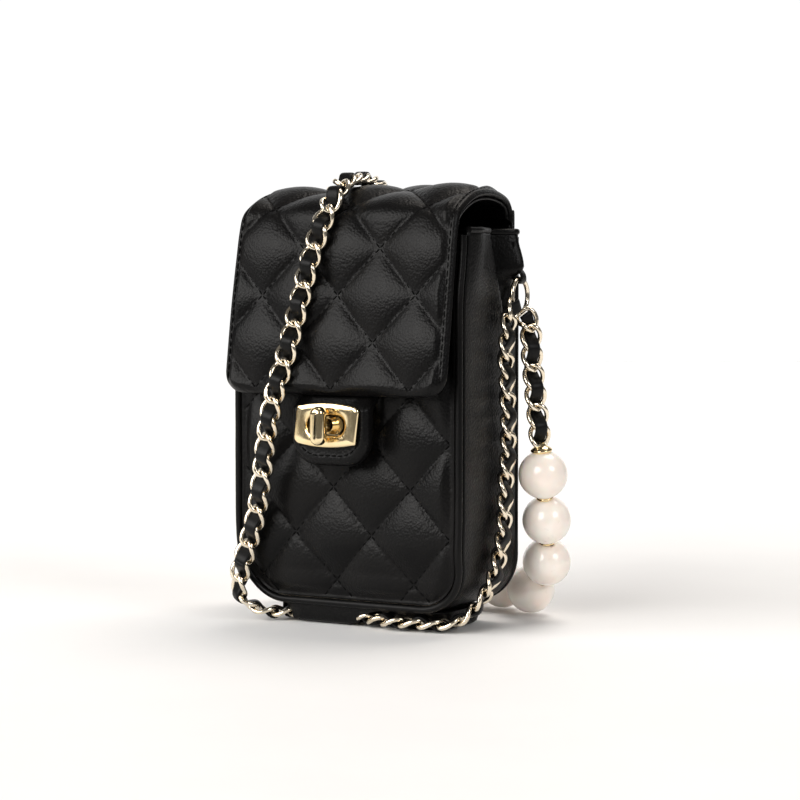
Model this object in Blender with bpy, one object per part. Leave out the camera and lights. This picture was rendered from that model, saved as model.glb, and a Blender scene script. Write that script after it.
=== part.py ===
"""A tall quilted crossbody purse with a turn lock, a pearl handle and a long chain strap.

Units are metres and +Z is up. The origin is the middle of the flat base, so the purse stands on z = 0.
The front faces -Y and the wearer's right-hand side of the front, seen from the front, is +X.
"""

import math

import bmesh
import bpy
import numpy as np
from mathutils import Matrix, Vector

MM = 0.001
GAP = 0.3 * MM

# The body: a U-shaped gusset between a padded front panel and a flat back panel.
BODY_W = 104 * MM
BODY_BOTTOM = 7.7 * MM
BODY_TOP = 160 * MM
CORNER_R = 20 * MM
FRONT_Y = -20.3 * MM
BACK_Y = 22.0 * MM
PANEL_T = 2.4 * MM
FRONT_BULGE = 3.8 * MM
BACK_BULGE = 0.8 * MM
GUSSET_T = 1.8 * MM
PLEAT_DEPTH = 6.5 * MM
PLEAT_START = 100 * MM
PIPING_R = 1.5 * MM
BOARD_T = 1.2 * MM
LINING_T = 0.8 * MM
LINING_INSET = 3.9 * MM
LINING_FRONT_Y = -15.9 * MM
LINING_BACK_Y = 20.0 * MM
BASE_W = 80 * MM
BASE_FRONT = -20.0 * MM
BASE_BACK = 21.0 * MM
BASE_CORNER_R = 12 * MM

# The flap: an arch from the back edge over the mouth, a bend, and a front that leans out to its lower edge.
FLAP_W = 100 * MM
FLAP_OUTER_T = 4.0 * MM
FLAP_LINING_T = 1.0 * MM
FLAP_CORNER_R = 9 * MM
FLAP_HINGE = (25.5 * MM, 163.7 * MM)
FLAP_BEND = (-26.8 * MM, 167.8 * MM)
FLAP_BEND_ALONG = (-0.62, -0.78)
FLAP_STEP = 6.0
FLAP_TOP_OUTLINE = [
    (25.2, 164.1), (24.6, 169.2), (20.6, 174.2), (12.5, 176.9), (2.0, 177.8), (-9.0, 176.6),
    (-19.0, 172.9), (-26.3, 168.0),
]
FLAP_FRONT_OUTLINE = [
    (-26.9, 167.3), (-29.5, 160.5), (-32.0, 148.0), (-34.6, 133.0), (-37.2, 116.0), (-39.2, 103.0),
    (-40.4, 95.0),
]

# The turn lock, on the middle of the front.
CUT_FRONT = -60 * MM
PANEL_CUT_BACK = -30 * MM
FLANGE_W = 24 * MM
FLANGE_H = 13 * MM
BOSS_FRONT = -41.8 * MM
REAR_PLATE_T = 0.8 * MM
WASHER_R = 4.6 * MM
LOCK_Z = 83 * MM
TAB_W = 36 * MM
TAB_BOTTOM = 66 * MM
TAB_TOP = 94.2 * MM
TAB_ROOT_TOP = 101 * MM
TAB_FRONT = -40.8 * MM
TAB_BACK = -34.4 * MM
PLATE_W = 30 * MM
PLATE_H = 18 * MM
PLATE_T = 2.2 * MM
SLOT_W = 17.6 * MM
SLOT_H = 8.3 * MM
KNOB_LENGTH = 15.4 * MM
KNOB_W = 6.3 * MM
KNOB_FRONT = -51.0 * MM
KNOB_T = 4.6 * MM
POST_R = 2.5 * MM
POST_END = -16.4 * MM

# The rings at the back edge of each side, which carry the strap and the handle.
RING_X = 55.6 * MM
RING_Y = 17.5 * MM
RING_Z = 134 * MM
RING_R = 7.0 * MM
RING_WIRE_R = 1.0 * MM
RING_LOOP_R = 3.3 * MM
RING_LOOP_BORE_R = 1.9 * MM
RING_TAB_W = 5 * MM
RING_TAB_TOP = 156 * MM

# The handle: twelve pearls between two short chains. The left half mirrors these right-hand points.
PEARL_R = 10.0 * MM
CABLE_R = 0.7 * MM
BORE_R = 1.1 * MM
HANDLE_CHAIN_R = 2.5 * MM
HANDLE_CHAIN_LINE = [
    (60.2, 17.6, 123.0), (60.9, 17.7, 112.0), (62.2, 17.9, 98.0), (63.6, 18.4, 84.0),
    (64.5, 18.9, 74.0),
]
PEARLS = [
    (64.8, 20.7, 61.5), (63.1, 27.6, 42.3), (59.2, 36.0, 24.0), (47.2, 45.7, 10.6), (29.0, 55.5, 10.3),
    (10.1, 62.0, 14.0),
]

# The strap, in three stretches, with the points of its route in millimetres.
STRAP_R = 3.0 * MM
STRAP_STEP = 12.5 * MM
STRAP_FLOOR_Z = STRAP_R + GAP
STRAP_SIDE_ROUTE = [
    (56.9, 6.6, 127.4), (56.6, 4.6, 120.0), (56.2, 4.2, 110.0), (56.1, 5.6, 96.0), (56.1, 6.6, 78.0),
    (56.1, 4.4, 58.0), (56.1, 2.8, 42.0), (55.7, -0.6, 29.0), (53.4, -5.2, 16.8), (47.8, -9.8, 7.8),
    (42.4, -14.4, 3.5), (34.0, -17.8, 3.3), (26.0, -19.6, 3.3), (15.0, -19.4, 3.3), (3.0, -15.6, 3.3),
    (-9.0, -12.2, 3.3), (-21.0, -12.0, 3.3), (-32.0, -15.8, 3.3), (-41.0, -21.6, 3.6),
    (-46.4, -26.0, 6.0), (-49.4, -29.2, 10.6), (-49.2, -31.0, 16.0), (-47.2, -32.0, 22.0),
]
STRAP_FRONT_ROUTE = [
    (-46.9, -32.1, 22.9), (-44.6, -33.0, 28.0), (-37.6, -35.4, 45.0), (-32.2, -39.0, 63.0),
    (-27.6, -42.4, 80.0), (-23.0, -44.2, 95.0), (-18.6, -42.9, 110.0), (-14.4, -39.9, 130.0),
    (-10.4, -36.7, 150.0), (-7.0, -33.6, 163.0), (-5.0, -29.6, 172.2), (-5.6, -22.4, 177.9),
    (-8.0, -12.0, 181.3), (-10.0, 1.0, 182.4), (-11.0, 13.0, 181.2), (-11.6, 23.0, 177.4),
    (-12.0, 28.9, 170.0), (-12.0, 30.2, 160.2),
]
STRAP_BACK_ROUTE = [
    (-12.0, 30.3, 159.6), (-11.8, 30.4, 150.0), (-10.6, 30.2, 130.0), (-7.2, 30.0, 105.0),
    (-2.4, 30.0, 80.0), (2.6, 30.0, 56.0), (6.4, 30.2, 34.0), (8.4, 31.8, 17.0), (8.2, 37.0, 7.0),
    (5.6, 46.0, 3.3), (1.0, 56.0, 3.3), (-1.6, 70.0, 3.3), (-2.4, 86.0, 3.3), (-10.0, 106.0, 3.3),
    (-27.0, 119.0, 3.3), (-47.0, 119.6, 3.3), (-64.0, 108.0, 3.3), (-71.0, 90.0, 3.3),
    (-68.4, 70.0, 3.3), (-63.6, 54.0, 3.3), (-58.6, 42.0, 3.3), (-52.4, 33.6, 4.6), (-47.6, 30.6, 11.0),
    (-46.2, 30.0, 20.0), (-45.8, 30.0, 34.0), (-46.4, 29.6, 60.0), (-47.0, 29.4, 90.0),
    (-47.6, 29.2, 112.0), (-48.6, 28.8, 124.0),
]

LEATHER = "black_leather"
GOLD = "polished_gold"
FINISHES = {
    LEATHER: ((0.012, 0.012, 0.013), 0.42, 0.0),
    "quilted_leather": ((0.014, 0.014, 0.015), 0.40, 0.0),
    "lining_fabric": ((0.030, 0.028, 0.030), 0.75, 0.0),
    "stiffener_board": ((0.45, 0.40, 0.33), 0.85, 0.0),
    GOLD: ((0.83, 0.62, 0.33), 0.14, 1.0),
    "chain_gold": ((0.80, 0.68, 0.50), 0.20, 1.0),
    "pearl": ((0.86, 0.81, 0.76), 0.18, 0.0),
    "steel": ((0.55, 0.55, 0.56), 0.30, 1.0),
}


def clear_scene():
    for thing in list(bpy.data.objects):
        bpy.data.objects.remove(thing)


def finish(name, finish_name):
    """A material of the node's own, with the finish's colour, roughness and metallic value."""
    colour, roughness, metallic = FINISHES[finish_name]
    material = bpy.data.materials.new(name)
    material.use_nodes = True
    shader = material.node_tree.nodes["Principled BSDF"]
    shader.inputs["Base Color"].default_value = (*colour, 1)
    shader.inputs["Roughness"].default_value = roughness
    shader.inputs["Metallic"].default_value = metallic
    return material


def add_object(name, data, finish_name, smooth=False):
    thing = bpy.data.objects.new(name, data)
    bpy.context.scene.collection.objects.link(thing)
    if finish_name:
        data.materials.append(finish(name, finish_name))
    else:
        thing.hide_render = True
        thing.display_type = "WIRE"
    if smooth:
        data.shade_smooth()
        data.set_sharp_from_angle(angle=math.radians(40))
    return thing


def solid(name, points, faces, finish_name, smooth=False):
    """A closed body from points and faces, turned so that its faces point out."""
    mesh = bpy.data.meshes.new(name)
    mesh.from_pydata([tuple(p) for p in points], [], [tuple(f) for f in faces])
    shape = bmesh.new()
    shape.from_mesh(mesh)
    bmesh.ops.recalc_face_normals(shape, faces=shape.faces)
    if shape.calc_volume(signed=True) < 0:
        bmesh.ops.reverse_faces(shape, faces=shape.faces)
    shape.to_mesh(mesh)
    shape.free()
    return add_object(name, mesh, finish_name, smooth)


def two_sided(name, outer, inner, finish_name, smooth=True):
    """A sheet with thickness: two grids of points of the same size, joined round their rims."""
    rows, columns = len(outer), len(outer[0])
    points = [p for row in outer for p in row] + [p for row in inner for p in row]
    second = rows * columns
    faces = []
    for r in range(rows - 1):
        for c in range(columns - 1):
            a = r * columns + c
            quad = (a, a + 1, a + columns + 1, a + columns)
            faces.append(quad)
            faces.append(tuple(second + i for i in reversed(quad)))
    rim = [c for c in range(columns)]
    rim += [r * columns + columns - 1 for r in range(1, rows)]
    rim += [(rows - 1) * columns + c for c in range(columns - 2, -1, -1)]
    rim += [r * columns for r in range(rows - 2, 0, -1)]
    for k, a in enumerate(rim):
        b = rim[(k + 1) % len(rim)]
        faces.append((b, a, second + a, second + b))
    return solid(name, points, faces, finish_name, smooth)


def prism(name, outline, y_front, y_back, finish_name, smooth=False):
    """An outline in X and Z, pushed along Y."""
    count = len(outline)
    points = [(x, y_front, z) for x, z in outline] + [(x, y_back, z) for x, z in outline]
    faces = [tuple(range(count)), tuple(range(2 * count - 1, count - 1, -1))]
    faces += [(k, (k + 1) % count, count + (k + 1) % count, count + k) for k in range(count)]
    return solid(name, points, faces, finish_name, smooth)


def box(name, low, high, finish_name):
    outline = [(low[0], low[2]), (high[0], low[2]), (high[0], high[2]), (low[0], high[2])]
    return prism(name, outline, low[1], high[1], finish_name)


def stadium(width, height, x=0.0, z=0.0, steps=8):
    """A slot outline, with round ends on its long axis."""
    radius = min(width, height) / 2
    reach = max(width, height) / 2 - radius
    points = []
    for end in (1, -1):
        for k in range(steps + 1):
            turn = math.pi * (k / steps - 0.5) + (0 if end > 0 else math.pi)
            along, across = end * reach + radius * math.cos(turn), radius * math.sin(turn)
            points.append((x + along, z + across) if width >= height else (x - across, z + along))
    return points


def round_box_outline(width, height, radius, x=0.0, z=0.0, steps=4):
    points = []
    for quarter, (sx, sz) in enumerate(((1, -1), (1, 1), (-1, 1), (-1, -1))):
        for k in range(steps + 1):
            turn = math.radians(-90 + 90 * quarter + 90 * k / steps)
            cx, cz = sx * (width / 2 - radius), sz * (height / 2 - radius)
            points.append((x + cx + radius * math.cos(turn), z + cz + radius * math.sin(turn)))
    return points


def modify(thing, operation, other):
    boolean = thing.modifiers.new(operation.lower(), "BOOLEAN")
    boolean.operation = operation
    boolean.solver = "EXACT"
    boolean.object = other
    other.hide_render = True
    other.display_type = "WIRE"


def smooth_line(points, step):
    """Points a step apart along a smooth curve through the given points."""
    marks = np.array(points, float)
    ends = np.vstack([2 * marks[0] - marks[1], marks, 2 * marks[-1] - marks[-2]])
    dense = []
    for k in range(1, len(ends) - 2):
        p0, p1, p2, p3 = ends[k - 1 : k + 3]
        for t in np.linspace(0, 1, 24, endpoint=False):
            dense.append(
                0.5 * (
                    2 * p1 + (p2 - p0) * t + (
                        2 * p0 - 5 * p1 + 4 * p2 - p3
                    ) * t**2 + (3 * p1 - p0 - 3 * p2 + p3) * t**3
                )
            )
    dense = np.array(dense + [marks[-1]])
    run = np.concatenate([[0], np.cumsum(np.linalg.norm(np.diff(dense, axis=0), axis=1))])
    wanted = np.linspace(0, run[-1], max(2, round(run[-1] / step)) + 1)
    return np.stack([np.interp(wanted, run, dense[:, axis]) for axis in range(3)], axis=1)


def tube(name, points, radius, finish_name, sides=3):
    """A round tube along the points, with filled ends."""
    curve = bpy.data.curves.new(name, "CURVE")
    curve.dimensions = "3D"
    curve.bevel_depth = radius
    curve.bevel_resolution = sides
    curve.use_fill_caps = True
    spline = curve.splines.new("POLY")
    spline.points.add(len(points) - 1)
    for place, p in zip(spline.points, points):
        place.co = (*p, 1)
    thing = bpy.data.objects.new(name, curve)
    bpy.context.scene.collection.objects.link(thing)
    if finish_name:
        curve.materials.append(finish(name, finish_name))
    return thing


def rod(name, radius, start, end, finish_name, segments=20):
    """A straight round bar between two points."""
    start, end = Vector(start), Vector(end)
    shape = bmesh.new()
    bmesh.ops.create_cone(
        shape, cap_ends=True, segments=segments, radius1=radius, radius2=radius, depth=(end - start).length
    )
    turn = Vector((0, 0, 1)).rotation_difference(end - start).to_matrix().to_4x4()
    shape.transform(Matrix.Translation((start + end) / 2) @ turn)
    mesh = bpy.data.meshes.new(name)
    shape.to_mesh(mesh)
    shape.free()
    return add_object(name, mesh, finish_name, smooth=True)


def side_half_width(z, inset=0.0):
    """Half the body's width at a height, narrowing round the bottom corners."""
    radius = CORNER_R - inset
    centre_z = BODY_BOTTOM + CORNER_R
    half = BODY_W / 2 - inset
    if z >= centre_z:
        return half
    drop = min(centre_z - z, radius)
    return half - radius + math.sqrt(max(radius**2 - drop**2, 0.0))


def body_path(inset, top, corner_steps=6, side_steps=8):
    """The U of the body's outline in X and Z, left top to right top, with outward normals."""
    radius = CORNER_R - inset
    half = BODY_W / 2 - inset
    centre_z = BODY_BOTTOM + CORNER_R
    path = [((-half, top + (centre_z - top) * k / side_steps), (-1.0, 0.0)) for k in range(side_steps)]
    for k in range(corner_steps + 1):
        turn = math.radians(180 + 90 * k / corner_steps)
        normal = (math.cos(turn), math.sin(turn))
        path.append(((-half + radius + radius * normal[0], centre_z + radius * normal[1]), normal))
    right = [((-x, z), (-nx, nz)) for (x, z), (nx, nz) in reversed(path)]
    return path + right


def pleat(y, z):
    """How far the gusset folds inwards between its two edges, near the mouth."""
    rise = min(max((z - PLEAT_START) / (BODY_TOP - PLEAT_START), 0.0), 1.0)
    middle, half = (FRONT_Y + BACK_Y) / 2, (BACK_Y - FRONT_Y) / 2 - 3.5 * MM
    across = max(0.0, 1 - abs(y - middle) / half)
    return PLEAT_DEPTH * rise**1.4 * (0.5 - 0.5 * math.cos(math.pi * across))


def band(name, inset, thickness, y_front, y_back, top, finish_name, y_steps=8):
    """A U-shaped band between the panels, folded inwards near the mouth."""
    outer, inner = [], []
    for (x, z), (nx, nz) in body_path(inset, top):
        rows = ([], [])
        for k in range(y_steps + 1):
            y = y_front + (y_back - y_front) * k / y_steps
            fold = pleat(y, z) * (-nx)
            rows[0].append((x + fold, y, z))
            rows[1].append((x + fold - nx * thickness, y, z - nz * thickness))
        outer.append(rows[0])
        inner.append(rows[1])
    return two_sided(name, outer, inner, finish_name)


def panel(name, y_flat, y_edge, bulge, inset, bottom, top, finish_name, columns=12):
    """A panel of the body's outline: flat on one side and, on the other, padded out by the bulge."""
    centre_z = BODY_BOTTOM + CORNER_R
    heights = [centre_z - (centre_z - bottom) * math.cos(math.radians(90 * k / 6)) for k in range(7)]
    heights += [centre_z + (top - centre_z) * k / 9 for k in range(1, 10)]
    flat, padded = [], []
    for z in heights:
        half = side_half_width(z, inset)
        rise = (z - bottom) / (top - bottom)
        swell = math.sin(math.pi * min(max(rise, 0.0), 1.0) ** 0.75) ** 0.55 if 0 < rise < 1 else 0.0
        flat_row, padded_row = [], []
        for c in range(columns + 1):
            u = 2 * c / columns - 1
            flat_row.append((half * u, y_flat, z))
            padded_row.append((half * u, y_edge + bulge * swell * (1 - u**4), z))
        flat.append(flat_row)
        padded.append(padded_row)
    return two_sided(name, flat, padded, finish_name, smooth=bulge != 0)


def piping(name, y, finish_name):
    """The round edge between a panel and the gusset."""
    path = body_path(PIPING_R, BODY_TOP - 2 * MM, corner_steps=6, side_steps=3)
    centres = [(x, y, z) for (x, z), _ in path]
    return tube(name, centres, PIPING_R, finish_name, sides=2)


def offset_profile(line, distance, bend_at):
    """The profile moved towards its inside. Both parts of the flap are cut along one line at the bend."""
    along = np.gradient(line, axis=0)
    along[bend_at] = FLAP_BEND_ALONG
    along /= np.linalg.norm(along, axis=1)[:, None]
    inward = np.stack([-along[:, 1], along[:, 0]], axis=1)
    return line + inward * distance


def flap_sheet(name, outline, near, far, bend_at, finish_name, corner, columns=10):
    """A sheet of the flap between two depths under its outer face. Its lower corners may be rounded."""
    line = smooth_line([(0.0, y, z) for y, z in outline], FLAP_STEP)[:, 1:] * MM
    length = np.concatenate([[0], np.cumsum(np.linalg.norm(np.diff(line, axis=0), axis=1))])
    layers = []
    for depth in (near, far):
        rows = []
        for (y, z), run in zip(offset_profile(line, depth, bend_at), length):
            left = max(corner - (length[-1] - run), 0.0)
            half = FLAP_W / 2 - (corner - math.sqrt(max(corner**2 - left**2, 0.0)) if corner else 0.0)
            rows.append([(half * (2 * c / columns - 1), y, z) for c in range(columns + 1)])
        layers.append(rows)
    return two_sided(name, layers[0], layers[1], finish_name)


def make_body():
    front = panel(
        "front_panel", FRONT_Y, FRONT_Y - PANEL_T, -FRONT_BULGE, 2 * PIPING_R + GAP,
        BODY_BOTTOM + 2 * PIPING_R + GAP, BODY_TOP - 4 * MM, "quilted_leather",
    )
    panel(
        "back_panel", BACK_Y, BACK_Y + PANEL_T, BACK_BULGE, 2 * PIPING_R + GAP,
        BODY_BOTTOM + 2 * PIPING_R + GAP, BODY_TOP + 3 * MM, LEATHER,
    )
    band("gusset", 0.0, GUSSET_T, FRONT_Y + GAP, BACK_Y - GAP, BODY_TOP, LEATHER)
    return front


def make_edges():
    piping("front_piping", FRONT_Y - PIPING_R - GAP, LEATHER)
    piping("back_piping", BACK_Y + PIPING_R, LEATHER)
    box(
        "mouth_binding", (-BODY_W / 2 + 4 * MM, FRONT_Y - PANEL_T, BODY_TOP - 4 * MM + GAP),
        (BODY_W / 2 - 4 * MM, LINING_FRONT_Y + LINING_T, BODY_TOP - 1.5 * MM), LEATHER,
    )


def make_lining():
    inside_top = BODY_TOP - 4.5 * MM
    inside_bottom = BODY_BOTTOM + GUSSET_T
    panel(
        "front_board", FRONT_Y + GAP, FRONT_Y + GAP + BOARD_T, 0.0, GUSSET_T + GAP, inside_bottom + GAP,
        inside_top, "stiffener_board", columns=4,
    )
    panel(
        "back_board", BACK_Y - 2 * GAP - BOARD_T, BACK_Y - 2 * GAP, 0.0, GUSSET_T + GAP,
        inside_bottom + GAP, inside_top, "stiffener_board", columns=4,
    )
    panel(
        "lining_front", LINING_FRONT_Y, LINING_FRONT_Y + LINING_T, 0.0, LINING_INSET,
        BODY_BOTTOM + LINING_INSET, inside_top, "lining_fabric", columns=4,
    )
    panel(
        "lining_back", LINING_BACK_Y - LINING_T, LINING_BACK_Y, 0.0, LINING_INSET,
        BODY_BOTTOM + LINING_INSET, inside_top, "lining_fabric", columns=4,
    )
    band(
        "lining_gusset", LINING_INSET, LINING_T, LINING_FRONT_Y + LINING_T + GAP,
        LINING_BACK_Y - LINING_T - GAP, inside_top, "lining_fabric",
    )
    board_half = BASE_W / 2 - 8 * MM
    board_z = BODY_BOTTOM + GUSSET_T + GAP
    box(
        "base_board", (-board_half, LINING_FRONT_Y, board_z),
        (board_half, LINING_BACK_Y - 2 * MM, board_z + BOARD_T + 0.2 * MM), "stiffener_board",
    )
    pocket_back = LINING_BACK_Y - LINING_T - GAP
    pocket = box(
        "slip_pocket", (-34 * MM, pocket_back - 3.7 * MM, 46 * MM), (34 * MM, pocket_back, 128 * MM),
        "lining_fabric",
    )
    room = box(
        "pocket_room", (-33 * MM, pocket_back - 2.9 * MM, 47 * MM),
        (33 * MM, pocket_back + 2 * MM, 140 * MM), None,
    )
    modify(pocket, "DIFFERENCE", room)


def strap_channel():
    """The room that the soft base leaves for the strap: an upright U along its stretch under the base."""
    line = smooth_line([(x, y, 0.0) for x, y, z in STRAP_SIDE_ROUTE[9:]], 6.0) * MM
    line = line[line[:, 0] > -BASE_W / 2 - 6 * MM]
    along = np.gradient(line[:, :2], axis=0)
    along /= np.linalg.norm(along, axis=1)[:, None]
    across = np.stack([-along[:, 1], along[:, 0]], axis=1)
    half = STRAP_R + 2 * GAP
    profile = [(-half, -2 * MM), (half, -2 * MM)]
    profile += [
        (half * math.cos(t), STRAP_FLOOR_Z + half * math.sin(t)) for t in np.linspace(0, math.pi, 7)
    ]
    points, faces, ring = [], [], len(profile)
    for place, side in zip(line, across):
        points += [(place[0] + side[0] * a, place[1] + side[1] * a, z) for a, z in profile]
    for r in range(len(line) - 1):
        for k in range(ring):
            a, b = r * ring + k, r * ring + (k + 1) % ring
            faces.append((a, b, b + ring, a + ring))
    faces.append(tuple(range(ring)))
    faces.append(tuple(len(points) - 1 - k for k in range(ring)))
    return solid("strap_channel", points, faces, None)


def make_base():
    """The padded base, with a rounded lower edge, that the purse stands on."""
    depth = BASE_BACK - BASE_FRONT
    middle = (BASE_FRONT + BASE_BACK) / 2
    rings = [(2.6, 0.0), (0.9, 1.0), (0.0, 3.0), (0.0, 7.4)]
    points, faces, count = [], [], 0
    for inset, z in rings:
        outline = round_box_outline(
            BASE_W - 2 * inset * MM, depth - 2 * inset * MM, BASE_CORNER_R - inset * MM, z=middle,
        )
        count = len(outline)
        points += [(x, y, z * MM) for x, y in outline]
    for r in range(len(rings) - 1):
        for k in range(count):
            a, b = r * count + k, r * count + (k + 1) % count
            faces.append((a, b, b + count, a + count))
    faces.append(tuple(range(count)))
    faces.append(tuple(len(points) - 1 - k for k in range(count)))
    pad = solid("base_pad", points, faces, LEATHER)
    modify(pad, "DIFFERENCE", strap_channel())


def make_flap():
    lining_from = FLAP_OUTER_T + GAP
    lining_to = lining_from + FLAP_LINING_T
    for part, outline, bend_at, corner in (
        ("flap_top", FLAP_TOP_OUTLINE, -1, 0.0),
        ("flap_front", FLAP_FRONT_OUTLINE, 0, FLAP_CORNER_R),
    ):
        flap_sheet(part + "_outer", outline, 0.0, FLAP_OUTER_T, bend_at, "quilted_leather", corner)
        flap_sheet(part + "_lining", outline, lining_from, lining_to, bend_at, "lining_fabric", corner)


def tab_outline():
    """The tongue: straight sides that run into a broad round end."""
    half, round_r = TAB_W / 2, 11 * MM
    points = [(-half, TAB_TOP), (-half, TAB_BOTTOM + round_r)]
    for k in range(1, 6):
        turn = math.radians(180 + 90 * k / 6)
        points.append(
            (
                -half + round_r + round_r * math.cos(turn),
                TAB_BOTTOM + round_r + round_r * math.sin(turn),
            )
        )
    points.append((-half + round_r, TAB_BOTTOM))
    return points + [(-x, z) for x, z in reversed(points)]


def plate_outline(width, height, bow, steps=8):
    """A lock plate with bowed top and bottom edges and eased corners."""
    points = []
    ease = 1.6 * MM
    for side in (-1, 1):
        span = np.linspace(-1, 1, steps + 1) * (width / 2 - ease) * -side
        points += [(x, LOCK_Z + side * (height / 2 - bow * (2 * x / width) ** 2)) for x in span]
        end = -side * width / 2
        points += [
            (end, LOCK_Z + side * (height / 2 - bow - ease)),
            (end, LOCK_Z - side * (height / 2 - bow - ease)),
        ]
    return points


def make_closure():
    tab = prism("closure_tab", tab_outline(), TAB_FRONT, TAB_BACK, LEATHER)
    root = box(
        "tab_root", (-16 * MM, -34.9 * MM, TAB_TOP - 3 * MM), (16 * MM, -31.4 * MM, TAB_TOP - 0.2 * MM),
        None,
    )
    tongue = box(
        "tab_tongue", (-15.5 * MM, -33.4 * MM, TAB_TOP - 2 * MM), (15.5 * MM, -31.7 * MM, TAB_ROOT_TOP),
        None,
    )
    modify(tab, "UNION", root)
    modify(tab, "UNION", tongue)
    modify(
        tab, "DIFFERENCE",
        prism(
            "tab_slot", stadium(SLOT_W + 0.8 * MM, SLOT_H + 0.8 * MM, z=LOCK_Z), CUT_FRONT,
            PANEL_CUT_BACK, None,
        ),
    )
    plate_back = TAB_FRONT - GAP
    plate = prism(
        "lock_plate", plate_outline(PLATE_W, PLATE_H, 1.9 * MM), plate_back - PLATE_T, plate_back, GOLD,
    )
    bevel = plate.modifiers.new("bevel", "BEVEL")
    bevel.width = 0.6 * MM
    bevel.segments = 1
    bevel.limit_method = "ANGLE"
    bevel.angle_limit = math.radians(60)
    slot = prism("plate_slot", stadium(SLOT_W, SLOT_H, z=LOCK_Z), CUT_FRONT, PANEL_CUT_BACK, None)
    modify(plate, "DIFFERENCE", slot)
    rear = prism(
        "lock_plate_back", round_box_outline(28 * MM, 14.4 * MM, 3 * MM, z=LOCK_Z), TAB_BACK + GAP,
        TAB_BACK + GAP + REAR_PLATE_T, GOLD,
    )
    modify(rear, "DIFFERENCE", slot)


def make_lock(front_panel):
    panel_face = FRONT_Y - PANEL_T - FRONT_BULGE
    hole = rod("post_hole", POST_R + GAP, (0, CUT_FRONT, LOCK_Z), (0, -16.9 * MM, LOCK_Z), None, 24)
    seat = prism(
        "lock_seat", round_box_outline(26 * MM, 15 * MM, 4 * MM, z=LOCK_Z), CUT_FRONT,
        panel_face + 0.4 * MM, None,
    )
    modify(front_panel, "DIFFERENCE", seat)
    modify(front_panel, "DIFFERENCE", hole)
    modify(bpy.data.objects["front_board"], "DIFFERENCE", hole)
    flange = prism(
        "lock_base_plate", round_box_outline(FLANGE_W, FLANGE_H, 3 * MM, z=LOCK_Z),
        panel_face - 1.1 * MM, panel_face + 0.1 * MM, GOLD,
    )
    modify(
        flange, "UNION",
        prism(
            "lock_boss", stadium(15 * MM, 6.9 * MM, z=LOCK_Z), BOSS_FRONT, panel_face - 0.5 * MM, None,
        ),
    )
    modify(flange, "DIFFERENCE", hole)
    board_back = FRONT_Y + GAP + BOARD_T
    backing = prism(
        "lock_backing_plate", round_box_outline(FLANGE_W, FLANGE_H - MM, 3 * MM, z=LOCK_Z),
        board_back + GAP, board_back + GAP + REAR_PLATE_T, "steel",
    )
    modify(backing, "DIFFERENCE", hole)
    knob = prism("turn_knob", stadium(KNOB_W, KNOB_LENGTH, z=LOCK_Z), KNOB_FRONT, KNOB_FRONT + KNOB_T, GOLD)
    bevel = knob.modifiers.new("bevel", "BEVEL")
    bevel.width = 1.1 * MM
    bevel.segments = 2
    bevel.limit_method = "ANGLE"
    bevel.angle_limit = math.radians(60)
    modify(
        knob, "UNION",
        rod("knob_post", POST_R, (0, KNOB_FRONT + 2 * MM, LOCK_Z), (0, POST_END, LOCK_Z), None, 20),
    )
    washer_front = board_back + 2 * GAP + REAR_PLATE_T
    washer = rod(
        "knob_washer", WASHER_R, (0, washer_front, LOCK_Z), (0, washer_front + 0.7 * MM, LOCK_Z),
        "steel", 24,
    )
    modify(
        washer, "DIFFERENCE",
        rod("washer_hole", POST_R + GAP, (0, -20 * MM, LOCK_Z), (0, -10 * MM, LOCK_Z), None, 24),
    )


def make_ring(side_name, side):
    """The leather loop on one side of the gusset, and the ring that hangs in it."""
    loop_z = RING_Z + RING_R
    width = RING_TAB_W / 2
    near = BODY_W / 2 + GAP
    plate_ends = sorted((side * near, side * (near + 2 * MM)))
    tab = box(
        side_name + "_ring_tab", (plate_ends[0], RING_Y - width, loop_z),
        (plate_ends[1], RING_Y + width, RING_TAB_TOP), LEATHER,
    )
    loop = rod(
        side_name + "_loop", RING_LOOP_R, (side * RING_X, RING_Y - width, loop_z),
        (side * RING_X, RING_Y + width, loop_z), None,
    )
    bore = rod(
        side_name + "_loop_bore", RING_LOOP_BORE_R, (side * RING_X, RING_Y - 9 * MM, loop_z),
        (side * RING_X, RING_Y + 9 * MM, loop_z), None,
    )
    modify(tab, "UNION", loop)
    modify(tab, "DIFFERENCE", bore)
    points, faces, around, across = [], [], 28, 8
    for a in range(around):
        turn = 2 * math.pi * a / around
        for b in range(across):
            tilt = 2 * math.pi * b / across
            reach = RING_R + RING_WIRE_R * math.cos(tilt)
            points.append(
                (
                    side * RING_X + RING_WIRE_R * math.sin(tilt), RING_Y + reach * math.cos(turn),
                    RING_Z + reach * math.sin(turn),
                )
            )
            here, right = a * across + b, a * across + (b + 1) % across
            ahead = (a + 1) % around * across
            faces.append((here, right, ahead + (b + 1) % across, ahead + b))
    solid(side_name + "_ring", points, faces, "chain_gold", smooth=True)


def hang(pivot_name, place, names, held_by=None):
    """An empty on a joint's axis, which carries the pieces that turn about it."""
    pivot = bpy.data.objects.new(pivot_name, None)
    pivot.location = place
    bpy.context.scene.collection.objects.link(pivot)
    if held_by:
        pivot.parent = held_by
        pivot.matrix_parent_inverse = Matrix.Translation(held_by.location).inverted()
    for name in names:
        piece = bpy.data.objects[name]
        piece.parent = pivot
        piece.matrix_parent_inverse = Matrix.Translation(place).inverted()
    return pivot


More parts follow.
